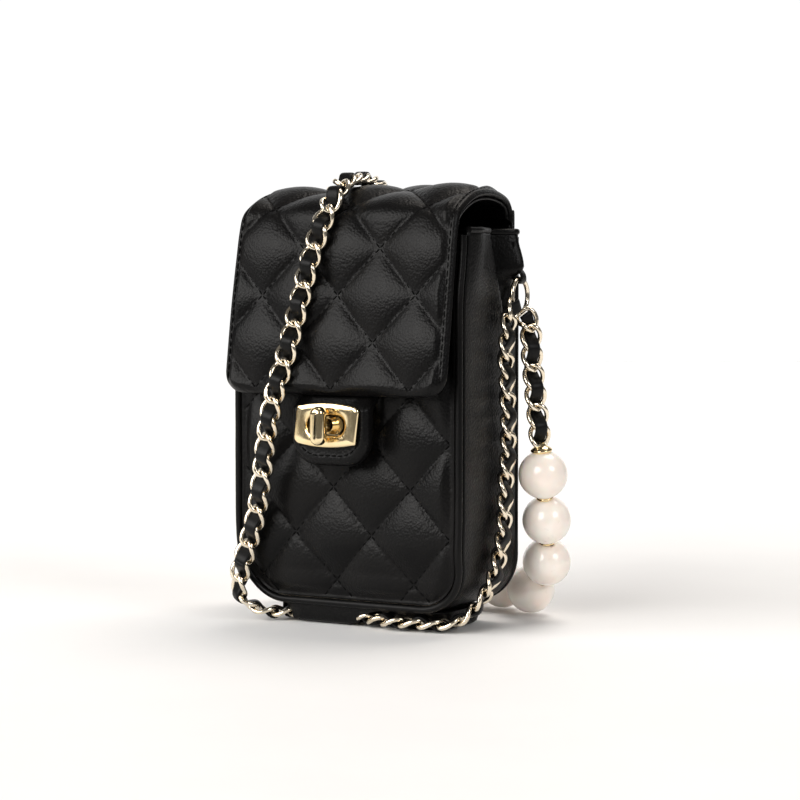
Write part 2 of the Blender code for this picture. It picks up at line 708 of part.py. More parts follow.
def make_pivots():
    hang("knob_pivot", (0, KNOB_FRONT + KNOB_T / 2, LOCK_Z), ("turn_knob", "knob_washer"))
    flap = hang("flap_pivot", (0, *FLAP_HINGE), ("flap_top_outer", "flap_top_lining"))
    front = ("flap_front_outer", "flap_front_lining", "closure_tab", "lock_plate", "lock_plate_back")
    hang("bend_pivot", (0, *FLAP_BEND), front, flap)
    beads = [f"pearl_{number}" for number in range(1, 2 * len(PEARLS) + 1)]
    hang(
        "handle_pivot", (0, RING_Y, RING_Z),
        ["handle_chain_right", "handle_chain_left", "handle_cable", *beads],
    )
    hang("strap_pivot", Vector(STRAP_FRONT_ROUTE[0]) * MM, ("strap_front",))


def mirrored(points):
    return [(-x, y, z) for x, y, z in reversed(points)]


def make_handle():
    centres = [Vector(p) * MM for p in PEARLS + mirrored(PEARLS)]
    for side_name, line in (("right", HANDLE_CHAIN_LINE), ("left", mirrored(HANDLE_CHAIN_LINE))):
        tube(
            f"handle_chain_{side_name}", smooth_line(np.array(line) * MM, 6 * MM), HANDLE_CHAIN_R,
            "chain_gold", 2,
        )
    lift = Vector((0, -1.4 * MM, PEARL_R))
    string = [centres[0] + lift, *centres, centres[-1] + lift]
    tube("handle_cable", smooth_line(string, 6 * MM), CABLE_R, "steel", 1)
    bore = tube(
        "bore_guide",
        smooth_line([centres[0] + 1.4 * lift, *centres, centres[-1] + 1.4 * lift], 6 * MM), BORE_R,
        None, 1,
    )
    bore_mesh = bpy.data.meshes.new_from_object(bore)
    bpy.data.objects.remove(bore)
    cutter = add_object("pearl_bore", bore_mesh, None)
    for number, centre in enumerate(centres, 1):
        shape = bmesh.new()
        bmesh.ops.create_uvsphere(shape, u_segments=16, v_segments=10, radius=PEARL_R)
        shape.transform(Matrix.Translation(centre))
        mesh = bpy.data.meshes.new(f"pearl_{number}")
        shape.to_mesh(mesh)
        shape.free()
        modify(add_object(f"pearl_{number}", mesh, "pearl", smooth=True), "DIFFERENCE", cutter)


def make_strap():
    for name, route in (
        ("strap_side", STRAP_SIDE_ROUTE), ("strap_front", STRAP_FRONT_ROUTE),
        ("strap_back", STRAP_BACK_ROUTE),
    ):
        tube(name, smooth_line(np.array(route) * MM, STRAP_STEP), STRAP_R, "chain_gold")


clear_scene()
front_panel = make_body()
make_edges()
make_lining()
make_base()
make_flap()
make_closure()
make_lock(front_panel)
make_ring("right", 1)
make_ring("left", -1)
make_handle()
make_strap()
make_pivots()
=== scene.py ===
import math

import bpy
import numpy as np
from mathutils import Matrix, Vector


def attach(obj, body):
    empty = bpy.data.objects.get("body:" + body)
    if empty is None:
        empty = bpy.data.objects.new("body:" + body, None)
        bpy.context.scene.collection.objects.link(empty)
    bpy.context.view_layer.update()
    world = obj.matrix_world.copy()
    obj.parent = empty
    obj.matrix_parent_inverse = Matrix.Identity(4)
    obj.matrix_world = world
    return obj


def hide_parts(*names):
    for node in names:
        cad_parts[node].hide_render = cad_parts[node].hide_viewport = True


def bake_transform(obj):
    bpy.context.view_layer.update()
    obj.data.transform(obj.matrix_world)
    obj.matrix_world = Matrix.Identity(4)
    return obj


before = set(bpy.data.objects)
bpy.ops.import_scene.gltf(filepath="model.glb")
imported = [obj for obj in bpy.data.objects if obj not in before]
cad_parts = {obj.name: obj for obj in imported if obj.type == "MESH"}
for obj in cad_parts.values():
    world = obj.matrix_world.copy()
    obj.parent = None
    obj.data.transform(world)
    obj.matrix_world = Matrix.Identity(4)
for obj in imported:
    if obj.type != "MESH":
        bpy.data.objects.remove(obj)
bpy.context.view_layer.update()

MM = 0.001

# Body.
BODY_W, BODY_BOTTOM, BODY_TOP, CORNER_R = 104.0, 7.7, 160.0, 20.0
FRONT_Y, BACK_Y, PANEL_T = -20.3, 22.0, 2.4
FRONT_BULGE, BACK_BULGE = 3.8, 0.8
PANEL_INSET = 3.3
PANEL_BOTTOM = BODY_BOTTOM + PANEL_INSET
GUSSET_T, PLEAT_DEPTH, PLEAT_START = 1.8, 10.5, 126.0
PLEAT_FOOT, PLEAT_MOUTH, CREASE_SHARE = (11.0, 13.5), (-2.5, 19.3), 0.36
FRONT_SWELL, FRONT_LIFT = 1.0, 5.0
PIPING_R = 1.5

# Padded base.
BASE_FRONT, BASE_BACK, BASE_HALF_W, BASE_CORNER_R = -20.0, 21.0, 40.0, 12.0

# Flap.
FLAP_W, FLAP_CORNER_R, FLAP_FLARE = 100.0, 9.0, 1.3
FLAP_PROFILE = [
    (25.2, 164.1), (24.6, 169.2), (20.6, 174.2), (12.5, 176.9), (2.0, 177.8), (-9.0, 176.6), (-19.0, 172.9),
    (-26.5, 167.8), (-29.5, 160.5), (-32.0, 148.0), (-34.6, 133.0), (-37.2, 116.0), (-39.2, 103.0),
    (-40.4, 95.0),
]
BORDER = 2.2

# Quilting: diamonds between two families of stitched lines.
DIAMOND_W, DIAMOND_H = 35.5, 37.8
LINE_SPACING = 1 / math.hypot(1 / DIAMOND_W, 1 / DIAMOND_H)
STITCHES_PER_SIDE = 8
STITCH_MARKS = (0.14, 0.5, 0.86)
STITCH_LIFT, THREAD_R = 0.12, 0.34

# Lining and its slip pocket.
LINING_INSET, LINING_TOP = 3.9, BODY_TOP - 4.5
POCKET_HALF_W, POCKET_BOTTOM, POCKET_TOP, POCKET_Y, POCKET_BELLY = 34.0, 46.0, 128.0, 18.9, 3.0

# Lock.
LOCK_Z = 83.0
KNOB_W, KNOB_LENGTH = 6.3, 15.4

# Rings and handle.
RING = (55.6, 17.5, 134.0)
RING_R, RING_WIRE_R = 7.0, 1.0
PEARL_R = 10.0
PEARLS = [
    (64.8, 20.7, 61.5), (63.1, 27.6, 42.3), (59.2, 36.0, 24.0), (47.2, 45.7, 10.6), (29.0, 55.5, 10.3),
    (10.1, 62.0, 14.0),
]
HANDLE_CHAIN = [
    (56.4, 17.5, 127.4), (60.2, 17.6, 122.5), (60.9, 17.7, 112.0), (62.2, 17.9, 98.0), (63.6, 18.4, 84.0),
    (64.5, 18.9, 73.5),
]

# Chain strap: each place of its route, with the way its face looks there.
LINK_PITCH, LINK_HALF, LINK_WIDE, LINK_WIRE_R, LINK_TWIST = 8.0, 5.2, 3.95, 1.0, math.radians(40)
RIBBON_W, RIBBON_T, RIBBON_WEAVE = 5.4, 1.1, 2.45
SIDE_ROUTE = [
    ((55.9, 11.4, 130.3), (1, 0, 0)), ((56.9, 6.6, 127.4), (1, 0, 0)), ((56.6, 4.6, 120.0), (1, 0, 0)),
    ((56.2, 4.2, 110.0), (1, 0, 0)), ((56.1, 5.6, 96.0), (1, 0, 0)), ((56.1, 6.6, 78.0), (1, 0, 0)),
    ((56.1, 4.4, 58.0), (1, 0, 0)), ((56.1, 2.8, 42.0), (1, 0, 0)), ((55.7, -0.6, 29.0), (1, 0, -0.1)),
    ((53.4, -5.2, 16.8), (0.85, 0, -0.5)), ((47.8, -9.8, 7.8), (0.5, 0, -0.85)),
    ((42.4, -14.4, 3.5), (0.1, 0, -1)), ((34.0, -17.8, 3.3), (0, 0, -1)), ((26.0, -19.6, 3.3), (0, 0, -1)),
    ((15.0, -19.4, 3.3), (0, 0, -1)), ((3.0, -15.6, 3.3), (0, 0, -1)), ((-9.0, -12.2, 3.3), (0, 0, -1)),
    ((-21.0, -12.0, 3.3), (0, 0, -1)), ((-32.0, -15.8, 3.3), (0, 0, -1)),
    ((-41.0, -21.6, 3.6), (-0.1, -0.1, -1)), ((-46.4, -26.0, 6.0), (-0.5, -0.4, -0.75)),
    ((-49.4, -29.2, 10.6), (-0.6, -0.75, -0.2)), ((-49.2, -31.0, 16.0), (-0.3, -1, 0)),
    ((-47.2, -32.0, 22.0), (0, -1, 0)),
]
FRONT_ROUTE = [
    ((-44.6, -33.0, 28.0), (0, -1, 0)), ((-37.6, -35.4, 45.0), (0, -1, 0)),
    ((-32.2, -39.0, 63.0), (0, -1, 0)), ((-27.6, -42.4, 80.0), (0, -1, 0)),
    ((-23.0, -44.2, 95.0), (0, -1, 0)), ((-18.6, -42.9, 110.0), (0, -1, 0)),
    ((-14.4, -39.9, 130.0), (0, -1, 0)), ((-10.4, -36.7, 150.0), (0, -1, 0.1)),
    ((-7.0, -33.6, 163.0), (0, -1, 0.3)), ((-5.0, -29.6, 172.2), (0, -0.8, 0.6)),
    ((-5.6, -22.4, 177.9), (0, -0.35, 0.94)), ((-8.0, -12.0, 181.3), (0, 0, 1)),
    ((-10.0, 1.0, 182.4), (0, 0, 1)), ((-11.0, 13.0, 181.2), (0, 0.2, 1)),
    ((-11.6, 23.0, 177.4), (0, 0.6, 0.8)), ((-12.0, 28.9, 170.0), (0, 0.95, 0.3)),
    ((-11.8, 30.4, 150.0), (0, 1, 0)), ((-10.6, 30.2, 130.0), (0, 1, 0)), ((-7.2, 30.0, 105.0), (0, 1, 0)),
    ((-2.4, 30.0, 80.0), (0, 1, 0)), ((2.6, 30.0, 56.0), (0, 1, 0)), ((6.4, 30.2, 34.0), (0, 1, 0)),
    ((8.4, 31.8, 17.0), (0, 0.95, 0.3)),
]
FLOOR_ROUTE = [
    ((8.2, 37.0, 7.0), (0, 0.5, 0.85)), ((5.6, 46.0, 3.3), (0, 0, 1)), ((1.0, 56.0, 3.3), (0, 0, 1)),
    ((-1.6, 70.0, 3.3), (0, 0, 1)), ((-2.4, 86.0, 3.3), (0, 0, 1)), ((-10.0, 106.0, 3.3), (0, 0, 1)),
    ((-27.0, 119.0, 3.3), (0, 0, 1)), ((-47.0, 119.6, 3.3), (0, 0, 1)), ((-64.0, 108.0, 3.3), (0, 0, 1)),
    ((-71.0, 90.0, 3.3), (0, 0, 1)), ((-68.4, 70.0, 3.3), (0, 0, 1)), ((-63.6, 54.0, 3.3), (0, 0, 1)),
    ((-58.6, 42.0, 3.3), (0, 0.1, 1)), ((-52.4, 33.6, 4.6), (0, 0.5, 0.85)),
    ((-47.6, 30.6, 11.0), (0, 1, 0.2)), ((-46.2, 30.0, 20.0), (0, 1, 0)), ((-45.8, 30.0, 34.0), (0, 1, 0)),
    ((-46.4, 29.6, 60.0), (0, 1, 0)), ((-47.0, 29.4, 90.0), (0, 1, 0)), ((-47.6, 29.2, 112.0), (0, 1, 0)),
    ((-49.6, 28.2, 122.0), (-0.2, 1, 0)), ((-53.6, 25.0, 127.4), (-0.6, 0.8, 0)),
    ((-55.7, 22.6, 129.4), (-0.8, 0.6, 0)),
]


# ---- Camera and light ----

def look_at(thing, target):
    thing.rotation_euler = (Vector(target) - thing.location).to_track_quat("-Z", "Y").to_euler()


def place_camera(azimuth, elevation, distance, target, lens, shift):
    turn, rise = math.radians(azimuth), math.radians(elevation)
    camera = bpy.data.objects.new("camera", bpy.data.cameras.new("camera"))
    bpy.context.scene.collection.objects.link(camera)
    away = Vector((math.sin(turn) * math.cos(rise), -math.cos(turn) * math.cos(rise), math.sin(rise)))
    camera.location = Vector(target) + away * distance
    look_at(camera, target)
    camera.data.lens = lens
    camera.data.shift_x, camera.data.shift_y = shift
    camera.data.clip_start = 0.02
    bpy.context.scene.camera = camera


def sunlight(name, from_way, spread, strength, colour=(1, 1, 1)):
    """Even light from a broad, distant source, as wide in degrees as spread."""
    light = bpy.data.lights.new(name, "SUN")
    light.angle = math.radians(spread)
    light.energy = strength
    light.color = colour
    lamp = bpy.data.objects.new(name, light)
    bpy.context.scene.collection.objects.link(lamp)
    lamp.location = from_way
    look_at(lamp, (0, 0, 0))


VIEW_TURN = 30
place_camera(VIEW_TURN, 2.65, 0.936, (0, 0, 0.097), 102.2, (0.0256, -0.018))


# ---- Finishes ----

class Value:
    """A number that changes over the surface. Arithmetic on it adds Math nodes."""

    def __init__(self, finish, socket):
        self.finish, self.socket = finish, socket

    def maths(self, operation, first, second):
        node = self.finish.node("ShaderNodeMath", {"operation": operation}, {0: first, 1: second})
        return Value(self.finish, node.outputs[0])

    def __add__(self, other):
        return self.maths("ADD", self, other)

    def __mul__(self, other):
        return self.maths("MULTIPLY", self, other)

    def __rsub__(self, other):
        return self.maths("SUBTRACT", other, self)

    __radd__ = __add__
    __rmul__ = __mul__


class Finish:
    """A material, with one way to add a node and the few sums that every finish here is made of."""

    def __init__(self, name, **sockets):
        self.material = bpy.data.materials.new(name)
        self.material.use_nodes = True
        self.tree = self.material.node_tree
        self.shader = self.tree.nodes["Principled BSDF"]
        self.place = self.node("ShaderNodeTexCoord", {}, {}).outputs["Object"]
        for socket, value in sockets.items():
            self.feed(self.shader, socket.replace("_", " "), value)

    def feed(self, node, socket, value):
        if isinstance(value, Value):
            value = value.socket
        if isinstance(value, bpy.types.NodeSocket):
            self.tree.links.new(value, node.inputs[socket])
        else:
            node.inputs[socket].default_value = value

    def node(self, kind, settings, sockets):
        made = self.tree.nodes.new(kind)
        for setting, value in settings.items():
            if setting == "stops":
                for stop, (position, grey) in zip(made.color_ramp.elements, value):
                    stop.position, stop.color = position, (grey, grey, grey, 1)
            else:
                setattr(made, setting, value)
        for socket, value in sockets.items():
            self.feed(made, socket, value)
        return made

    def stretched(self, scale):
        node = self.node("ShaderNodeMapping", {}, {"Vector": self.place, "Scale": scale})
        return node.outputs["Vector"]

    def cloud(self, size, detail=3.0, place=None):
        """Soft noise whose blotches are about this many millimetres across."""
        sockets = {"Vector": place or self.place, "Scale": 1000 / size, "Detail": detail, "Roughness": 0.55}
        return Value(self, self.node("ShaderNodeTexNoise", {}, sockets).outputs["Fac"])

    def cells(self, size, place=None):
        """Distance from the middle of each grain cell, of about this many millimetres."""
        sockets = {"Vector": place or self.place, "Scale": 1000 / size}
        return Value(self, self.node("ShaderNodeTexVoronoi", {"feature": "F1"}, sockets).outputs["Distance"])

    def bands(self, size, direction):
        settings = {"wave_type": "BANDS", "bands_direction": direction}
        sockets = {"Vector": self.place, "Scale": 314.159 / size, "Distortion": 0.6, "Detail": 1.0}
        return Value(self, self.node("ShaderNodeTexWave", settings, sockets).outputs["Fac"])

    def stepped(self, value, low, high):
        """0 below low, 1 above high, and a straight rise between."""
        node = self.node("ShaderNodeValToRGB", {"stops": ((low, 0.0), (high, 1.0))}, {"Fac": value})
        return Value(self, node.outputs["Color"])

    def blended(self, share, first, second):
        settings = {"data_type": "RGBA"}
        node = self.node("ShaderNodeMix", settings, {0: share, 6: (*first, 1), 7: (*second, 1)})
        return node.outputs[2]

    def bump(self, height, strength, depth):
        sockets = {"Height": height, "Strength": strength, "Distance": depth * MM}
        node = self.node("ShaderNodeBump", {}, sockets)
        self.feed(self.shader, "Normal", node.outputs["Normal"])


def leather(name, dark, light, grain, gloss, bump):
    """Coated black leather: rounded grain cells, fine creases between them and slight wear in the sheen."""
    finish = Finish(name, Coat_Weight=0.03, Coat_Roughness=0.2, Specular_IOR_Level=0.12)
    cells = finish.cells(grain, finish.stretched((1.0, 1.0, 0.86)))
    creases = finish.cloud(3.2, 5.0)
    broad = finish.cloud(28.0, 2.0)
    finish.feed(finish.shader, "Base Color", finish.blended(finish.stepped(broad, 0.35, 0.7), dark, light))
    finish.feed(finish.shader, "Roughness", gloss + cells * 0.10 + broad * 0.10)
    finish.bump((1 - cells) * 0.8 + creases * 0.14, bump, 0.22)
    return finish.material


def woven(name, dark, light, sheen=0.25, shine=0.5):
    finish = Finish(name, Sheen_Weight=sheen, Sheen_Roughness=0.5, Specular_IOR_Level=shine)
    threads = finish.bands(0.7, "X") * finish.bands(0.7, "Z") + finish.bands(0.7, "Y") * 0.5
    finish.feed(finish.shader, "Base Color", finish.blended(finish.stepped(threads, 0.1, 0.9), dark, light))
    finish.feed(finish.shader, "Roughness", 0.62 + finish.cloud(6.0) * 0.2)
    finish.bump(threads, 0.5, 0.2)
    return finish.material


def metal(name, light, dark, roughness, bump=0.04):
    """Plated metal, polished, with faint handling marks that soften the reflections here and there."""
    finish = Finish(name, Metallic=1.0, Specular_IOR_Level=0.5)
    marks = finish.cloud(1.6, 6.0, finish.stretched((1.0, 1.0, 0.2)))
    broad = finish.cloud(9.0, 2.0)
    finish.feed(finish.shader, "Base Color", finish.blended(finish.stepped(broad, 0.4, 0.75), light, dark))
    finish.feed(finish.shader, "Roughness", roughness + finish.stepped(marks, 0.5, 0.8) * 0.08)
    finish.bump(marks, bump, 0.05)
    return finish.material


def nacre(name):
    """Pearl: creamy body colour with pink clouds under a clear, glossy skin, and a faint painted glow that
    brightens it.
    """
    finish = Finish(
        name, Coat_Weight=0.8, Coat_Roughness=0.12, Sheen_Weight=0.15, Sheen_Roughness=0.35,
        Sheen_Tint=(0.95, 0.72, 0.66, 1), Subsurface_Weight=0.15, Subsurface_Scale=0.003,
        Emission_Strength=0.05,
    )
    rosy_tint_and_glow = finish.stepped(finish.cloud(9.0, 2.0), 0.35, 0.72)
    finish.feed(finish.shader, "Base Color", finish.blended(rosy_tint_and_glow, (0.94, 0.88, 0.81), (0.91, 0.81, 0.73)))
    # Painted glow: a faint pink-cream emission that lightens the pearl as if lit, though it is no lamp.
    finish.feed(finish.shader, "Emission Color", finish.blended(rosy_tint_and_glow, (1.0, 0.90, 0.80), (1.0, 0.80, 0.68)))
    finish.feed(finish.shader, "Roughness", 0.24 + finish.cloud(4.0) * 0.10)
    finish.bump(finish.cloud(5.0, 2.0), 0.03, 0.2)
    return finish.material


def fibre_board(name):
    finish = Finish(name)
    fibres = finish.cloud(1.2, 6.0, finish.stretched((1.0, 1.0, 0.15)))
    finish.feed(finish.shader, "Base Color", finish.blended(fibres, (0.34, 0.29, 0.22), (0.56, 0.50, 0.41)))
    finish.feed(finish.shader, "Roughness", 0.75 + fibres * 0.2)
    finish.bump(fibres, 0.3, 0.2)
    return finish.material


def paper_floor(name):
    finish = Finish(name, Specular_IOR_Level=0.2)
    tooth = finish.cloud(60.0, 4.0)
    finish.feed(finish.shader, "Base Color", finish.blended(tooth, (0.86, 0.86, 0.86), (0.90, 0.90, 0.90)))
    finish.feed(finish.shader, "Roughness", 0.55 + tooth * 0.15)
    return finish.material


def lit_paper(name):
    """The backdrop, lit evenly from its own side."""
    finish = Finish(name, Emission_Strength=1.0)
    tooth = finish.cloud(300.0, 2.0)
    finish.feed(finish.shader, "Emission Color", finish.blended(tooth, (0.97, 0.97, 0.97), (1.0, 1.0, 1.0)))
    finish.feed(finish.shader, "Base Color", (0.0, 0.0, 0.0, 1))
    return finish.material


COAL, WORN_COAL = (0.0020, 0.0020, 0.0021), (0.0040, 0.0037, 0.0036)
QUILT_LEATHER = leather("quilted_black_leather", COAL, (0.0042, 0.0038, 0.0037), 0.95, 0.27, 0.75)
PLAIN_LEATHER = leather("plain_black_leather", COAL, WORN_COAL, 0.95, 0.27, 0.75)
EDGE_LEATHER = leather("edge_black_leather", COAL, WORN_COAL, 0.8, 0.27, 0.4)
RIBBON_LEATHER = leather(
    "ribbon_black_leather", (0.0025, 0.0025, 0.0025), (0.0050, 0.0048, 0.0048), 0.6, 0.30, 0.2,
)
LINING = woven("black_twill_lining", (0.012, 0.012, 0.013), (0.05, 0.047, 0.05))
THREAD = woven("black_bonded_thread", (0.001, 0.001, 0.001), (0.004, 0.004, 0.004), 0.0, 0.06)
GOLD = metal("polished_gold_plate", (0.95, 0.78, 0.48), (0.88, 0.68, 0.37), 0.13)
CHAIN_GOLD = metal("pale_gold_chain", (0.90, 0.81, 0.66), (0.82, 0.70, 0.52), 0.15)
STEEL = metal("bright_steel", (0.62, 0.62, 0.63), (0.50, 0.50, 0.51), 0.26)
PEARL = nacre("creamy_pearl")
BOARD = fibre_board("pressed_fibre_board")
FLOOR = paper_floor("pale_floor_paper")
BACKDROP = lit_paper("lit_backdrop_paper")


# ---- Shapes ----

def piece(name, points, faces, material, flat_edges=None):
    """A mesh from points in millimetres, with smooth shading except where faces meet sharply."""
    mesh = bpy.data.meshes.new(name)
    mesh.from_pydata((np.asarray(points, float) * MM).tolist(), [], [list(map(int, f)) for f in faces])
    mesh.materials.append(material)
    mesh.shade_smooth()
    if flat_edges:
        mesh.set_sharp_from_angle(angle=math.radians(flat_edges))
    thing = bpy.data.objects.new(name, mesh)
    bpy.context.scene.collection.objects.link(thing)
    return thing


def fit(thing, body=None, replaced=()):
    """Hides the CAD nodes a piece stands for and hangs the piece on its body."""
    if replaced:
        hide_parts(*replaced)
    if body:
        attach(thing, body)
    return thing


def join(parts):
    points, faces, start = [], [], 0
    for part_points, part_faces in parts:
        points.append(np.asarray(part_points, float))
        faces += [[i + start for i in face] for face in part_faces]
        start += len(part_points)
    return np.vstack(points), faces


def grid_faces(rows, columns, wrap_rows=False, wrap_columns=False, start=0):
    faces = []
    for r in range(rows if wrap_rows else rows - 1):
        for c in range(columns if wrap_columns else columns - 1):
            a, b = r * columns + c, r * columns + (c + 1) % columns
            below = (r + 1) % rows * columns
            faces.append([start + a, start + b, start + below + (c + 1) % columns, start + below + c])
    return faces


def outward(points, faces):
    """The faces turned, if need be, so that a closed shape's faces look out."""
    points = np.asarray(points, float)
    volume = 0.0
    for face in faces:
        a = points[face[0]]
        for k in range(1, len(face) - 1):
            volume += float(np.dot(a, np.cross(points[face[k]], points[face[k + 1]])))
    return points, faces if volume > 0 else [face[::-1] for face in faces]


def soft_slab(top, under):
    """A closed sheet between two grids of the same size."""
    rows, columns = top.shape[:2]
    count = rows * columns
    points = np.vstack([top.reshape(-1, 3), under.reshape(-1, 3)])
    faces = grid_faces(rows, columns)
    faces += [face[::-1] for face in grid_faces(rows, columns, start=count)]
    rim = [*range(columns), *[r * columns + columns - 1 for r in range(1, rows)]]
    rim += [(rows - 1) * columns + c for c in range(columns - 2, -1, -1)]
    rim += [r * columns for r in range(rows - 2, 0, -1)]
    for k, a in enumerate(rim):
        b = rim[(k + 1) % len(rim)]
        faces.append([b, a, count + a, count + b])
    return outward(points, faces)


def smooth_through(marks, step):
    """Places a step apart on one smooth curve through the marks. Extra columns are carried along."""
    marks = np.array(marks, float)
    ends = np.vstack([2 * marks[0] - marks[1], marks, 2 * marks[-1] - marks[-2]])
    dense = []
    for k in range(1, len(ends) - 2):
        p0, p1, p2, p3 = ends[k - 1 : k + 3]
        t = np.linspace(0, 1, 40, endpoint=False)[:, None]
        bend = (2 * p0 - 5 * p1 + 4 * p2 - p3) * t**2
        twist = (3 * p1 - p0 - 3 * p2 + p3) * t**3
        dense.append(0.5 * (2 * p1 + (p2 - p0) * t + bend + twist))
    dense = np.vstack([*dense, marks[-1:]])
    width = min(3, dense.shape[1])
    run = np.concatenate([[0], np.cumsum(np.linalg.norm(np.diff(dense[:, :width], axis=0), axis=1))])
    wanted = np.linspace(0, run[-1], max(2, round(run[-1] / step)) + 1)
    return np.stack([np.interp(wanted, run, column) for column in dense.T], axis=1), wanted


def unit(vectors):
    return vectors / np.maximum(np.linalg.norm(vectors, axis=-1, keepdims=True), 1e-9)


def frames_along(line, facing):
    """Along, across and facing directions at each place of a line."""
    along = unit(np.gradient(line, axis=0))
    facing = unit(facing - along * (facing * along).sum(1, keepdims=True))
    return along, np.cross(along, facing), facing


def transported(line):
    """Facing directions that turn as little as they can along a line."""
    along = unit(np.gradient(line, axis=0))
    start = np.cross(along[0], (0.31, 0.87, 0.37))
    facing = [start / np.linalg.norm(start)]
    for direction in along[1:]:
        last = facing[-1] - direction * np.dot(facing[-1], direction)
        facing.append(last / np.linalg.norm(last))
    return np.array(facing)


def bar(line, outline, facing=None, closed=False):
    """An outline, as pairs across and facing, swept along a line."""
    line = np.asarray(line, float)
    facing = transported(line) if facing is None else facing
    _, across, facing = frames_along(line, facing)
    outline = np.asarray(outline, float)
    points = line[:, None] + across[:, None] * outline[None, :, :1] + facing[:, None] * outline[None, :, 1:2]
    count = len(outline)
    faces = grid_faces(len(line), count, closed, True)
    if not closed:
        faces += [list(range(count))[::-1], list(range((len(line) - 1) * count, len(line) * count))]
    return outward(points.reshape(-1, 3), faces)


def circle(radius, sides):
    turns = np.linspace(0, 2 * math.pi, sides, endpoint=False)
    return np.stack([radius * np.cos(turns), radius * np.sin(turns)], axis=1)


def soft_rectangle(width, thickness, sides=16, power=0.45):
    turns = np.linspace(0, 2 * math.pi, sides, endpoint=False) + math.pi / sides
    round_way = np.stack([np.cos(turns), np.sin(turns)], axis=1)
    return np.sign(round_way) * np.abs(round_way) ** power * (width / 2, thickness / 2)


def turned(profile, centre, axis, sides=40, swell=0.0):
    """A profile of (radius, place) pairs turned about an axis. Its two ends are closed to each other."""
    centre, axis = np.array(centre, float), unit(np.array(axis, float))
    side = unit(np.cross(axis, (0.23, 0.41, 0.88)))
    other = np.cross(axis, side)
    points = []
    for radius, place in profile:
        for k in range(sides):
            turn = 2 * math.pi * k / sides
            reach = radius * (1 + swell * math.sin(2 * turn + place))
            way = side * math.cos(turn) + other * math.sin(turn)
            points.append(centre + axis * place + way * reach)
    return outward(points, grid_faces(len(profile), sides, True, True))


def eased(value, low, high):
    """A smooth rise from 0 at low to 1 at high."""
    t = np.clip((value - low) / (high - low), 0, 1)
    return t * t * (3 - 2 * t)


def wander(first, second, wave, seed):
    """Slow, irregular unevenness between -1 and 1, for handled leather and cloth."""
    total = np.zeros(np.broadcast(first, second).shape)
    for k in range(1, 6):
        turn = seed * 1.7 + k * 2.4
        length = wave * (0.6 + 0.22 * k)
        along = first * math.cos(turn) + second * math.sin(turn)
        total = total + np.sin(along * 2 * math.pi / length + turn)
    return total / 5


def quilting(across, along):
    """The padding's height, 0 in the stitched valleys and 1 inside each diamond, and its puckers."""
    u = across / DIAMOND_W + along / DIAMOND_H
    v = across / DIAMOND_W - along / DIAMOND_H
    puff = (np.abs(np.sin(math.pi * u)) * np.abs(np.sin(math.pi * v))) ** 0.55
    pucker = 0.0
    for one, other in ((u, v), (v, u)):
        away = np.abs(one - np.round(one)) * LINE_SPACING
        gather = np.cos(2 * math.pi * STITCHES_PER_SIDE * other)
        pucker = pucker + gather * np.exp(-away / 1.7) * eased(away, 0.2, 1.2)
    return puff, pucker


def stitches(surface, inside, low, high, lift):
    """Thread along every quilting line: surface gives a place and its way up, inside says what is sewn."""
    parts = []
    reach = int(max(abs(v) for v in (*low, *high)) / min(DIAMOND_W, DIAMOND_H)) + 3
    for family in (0, 1):
        for line in range(-2 * reach, 2 * reach + 1):
            for step in range(-2 * reach * STITCHES_PER_SIDE, 2 * reach * STITCHES_PER_SIDE):
                ends = []
                for t in STITCH_MARKS:
                    other = (step + t) / STITCHES_PER_SIDE
                    u, v = (line, other) if family == 0 else (other, line)
                    ends.append(((u + v) / 2 * DIAMOND_W, (u - v) / 2 * DIAMOND_H))
                x, y = ends[1]
                if low[0] < x < high[0] and low[1] < y < high[1] and inside(x, y):
                    parts.append(stitch(*[surface(*end) for end in ends], lift))
    return join(parts)


def stitch(start, middle, end, lift):
    """One stitch: a short round of thread that dips at both ends."""
    (a, _), (b, up), (c, _) = start, middle, end
    rises = (lift - 0.3, lift, lift + 0.08, lift, lift - 0.3)
    places = (a, (a + b) / 2, b, (b + c) / 2, c)
    line = [place + up * rise for place, rise in zip(places, rises)]
    return bar(line, circle(THREAD_R, 6), np.tile(up, (5, 1)))


def sewn_row(line, ups, lift, length=3.2):
    """A straight row of stitches along places on a surface, with the way up at each."""
    run = np.concatenate([[0], np.cumsum(np.linalg.norm(np.diff(line, axis=0), axis=1))])
    parts = []
    for k in range(int(run[-1] / length)):
        spots = []
        for t in STITCH_MARKS:
            at = (k + t) * length
            spot = np.array([np.interp(at, run, line[:, i]) for i in range(3)])
            up = unit(np.array([np.interp(at, run, ups[:, i]) for i in range(3)]))
            spots.append((spot, up))
        parts.append(stitch(*spots, lift))
    return join(parts)


# ---- Body ----

def side_half_width(z, inset):
    """Half the body's width at a height, this far in from its outline."""
    radius, centre_z = CORNER_R - inset, BODY_BOTTOM + CORNER_R
    drop = np.clip(centre_z - np.asarray(z, float), 0, radius)
    return BODY_W / 2 - inset - radius + np.sqrt(np.maximum(radius**2 - drop**2, 0))


def body_outline(inset, top, step):
    """The U of the body, left top to right top: places (x, z) and outward directions."""
    radius, half, centre_z = CORNER_R - inset, BODY_W / 2 - inset, BODY_BOTTOM + CORNER_R
    straight = np.linspace(top, centre_z, max(2, int((top - centre_z) / step)), endpoint=False)
    turns = np.radians(np.linspace(180, 270, 16))
    places = [(-half, z) for z in straight]
    places += [(-half + radius + radius * math.cos(t), centre_z + radius * math.sin(t)) for t in turns]
    ways = [(-1.0, 0.0)] * len(straight) + [(math.cos(t), math.sin(t)) for t in turns]
    flat = np.linspace(-half + radius, half - radius, max(2, int(2 * (half - radius) / step)))[1:-1]
    bottom = BODY_BOTTOM + inset
    places += [(x, bottom) for x in flat] + [(-x, z) for x, z in reversed(places)]
    ways += [(0.0, -1.0)] * len(flat) + [(-x, z) for x, z in reversed(ways)]
    return np.array(places), np.array(ways)


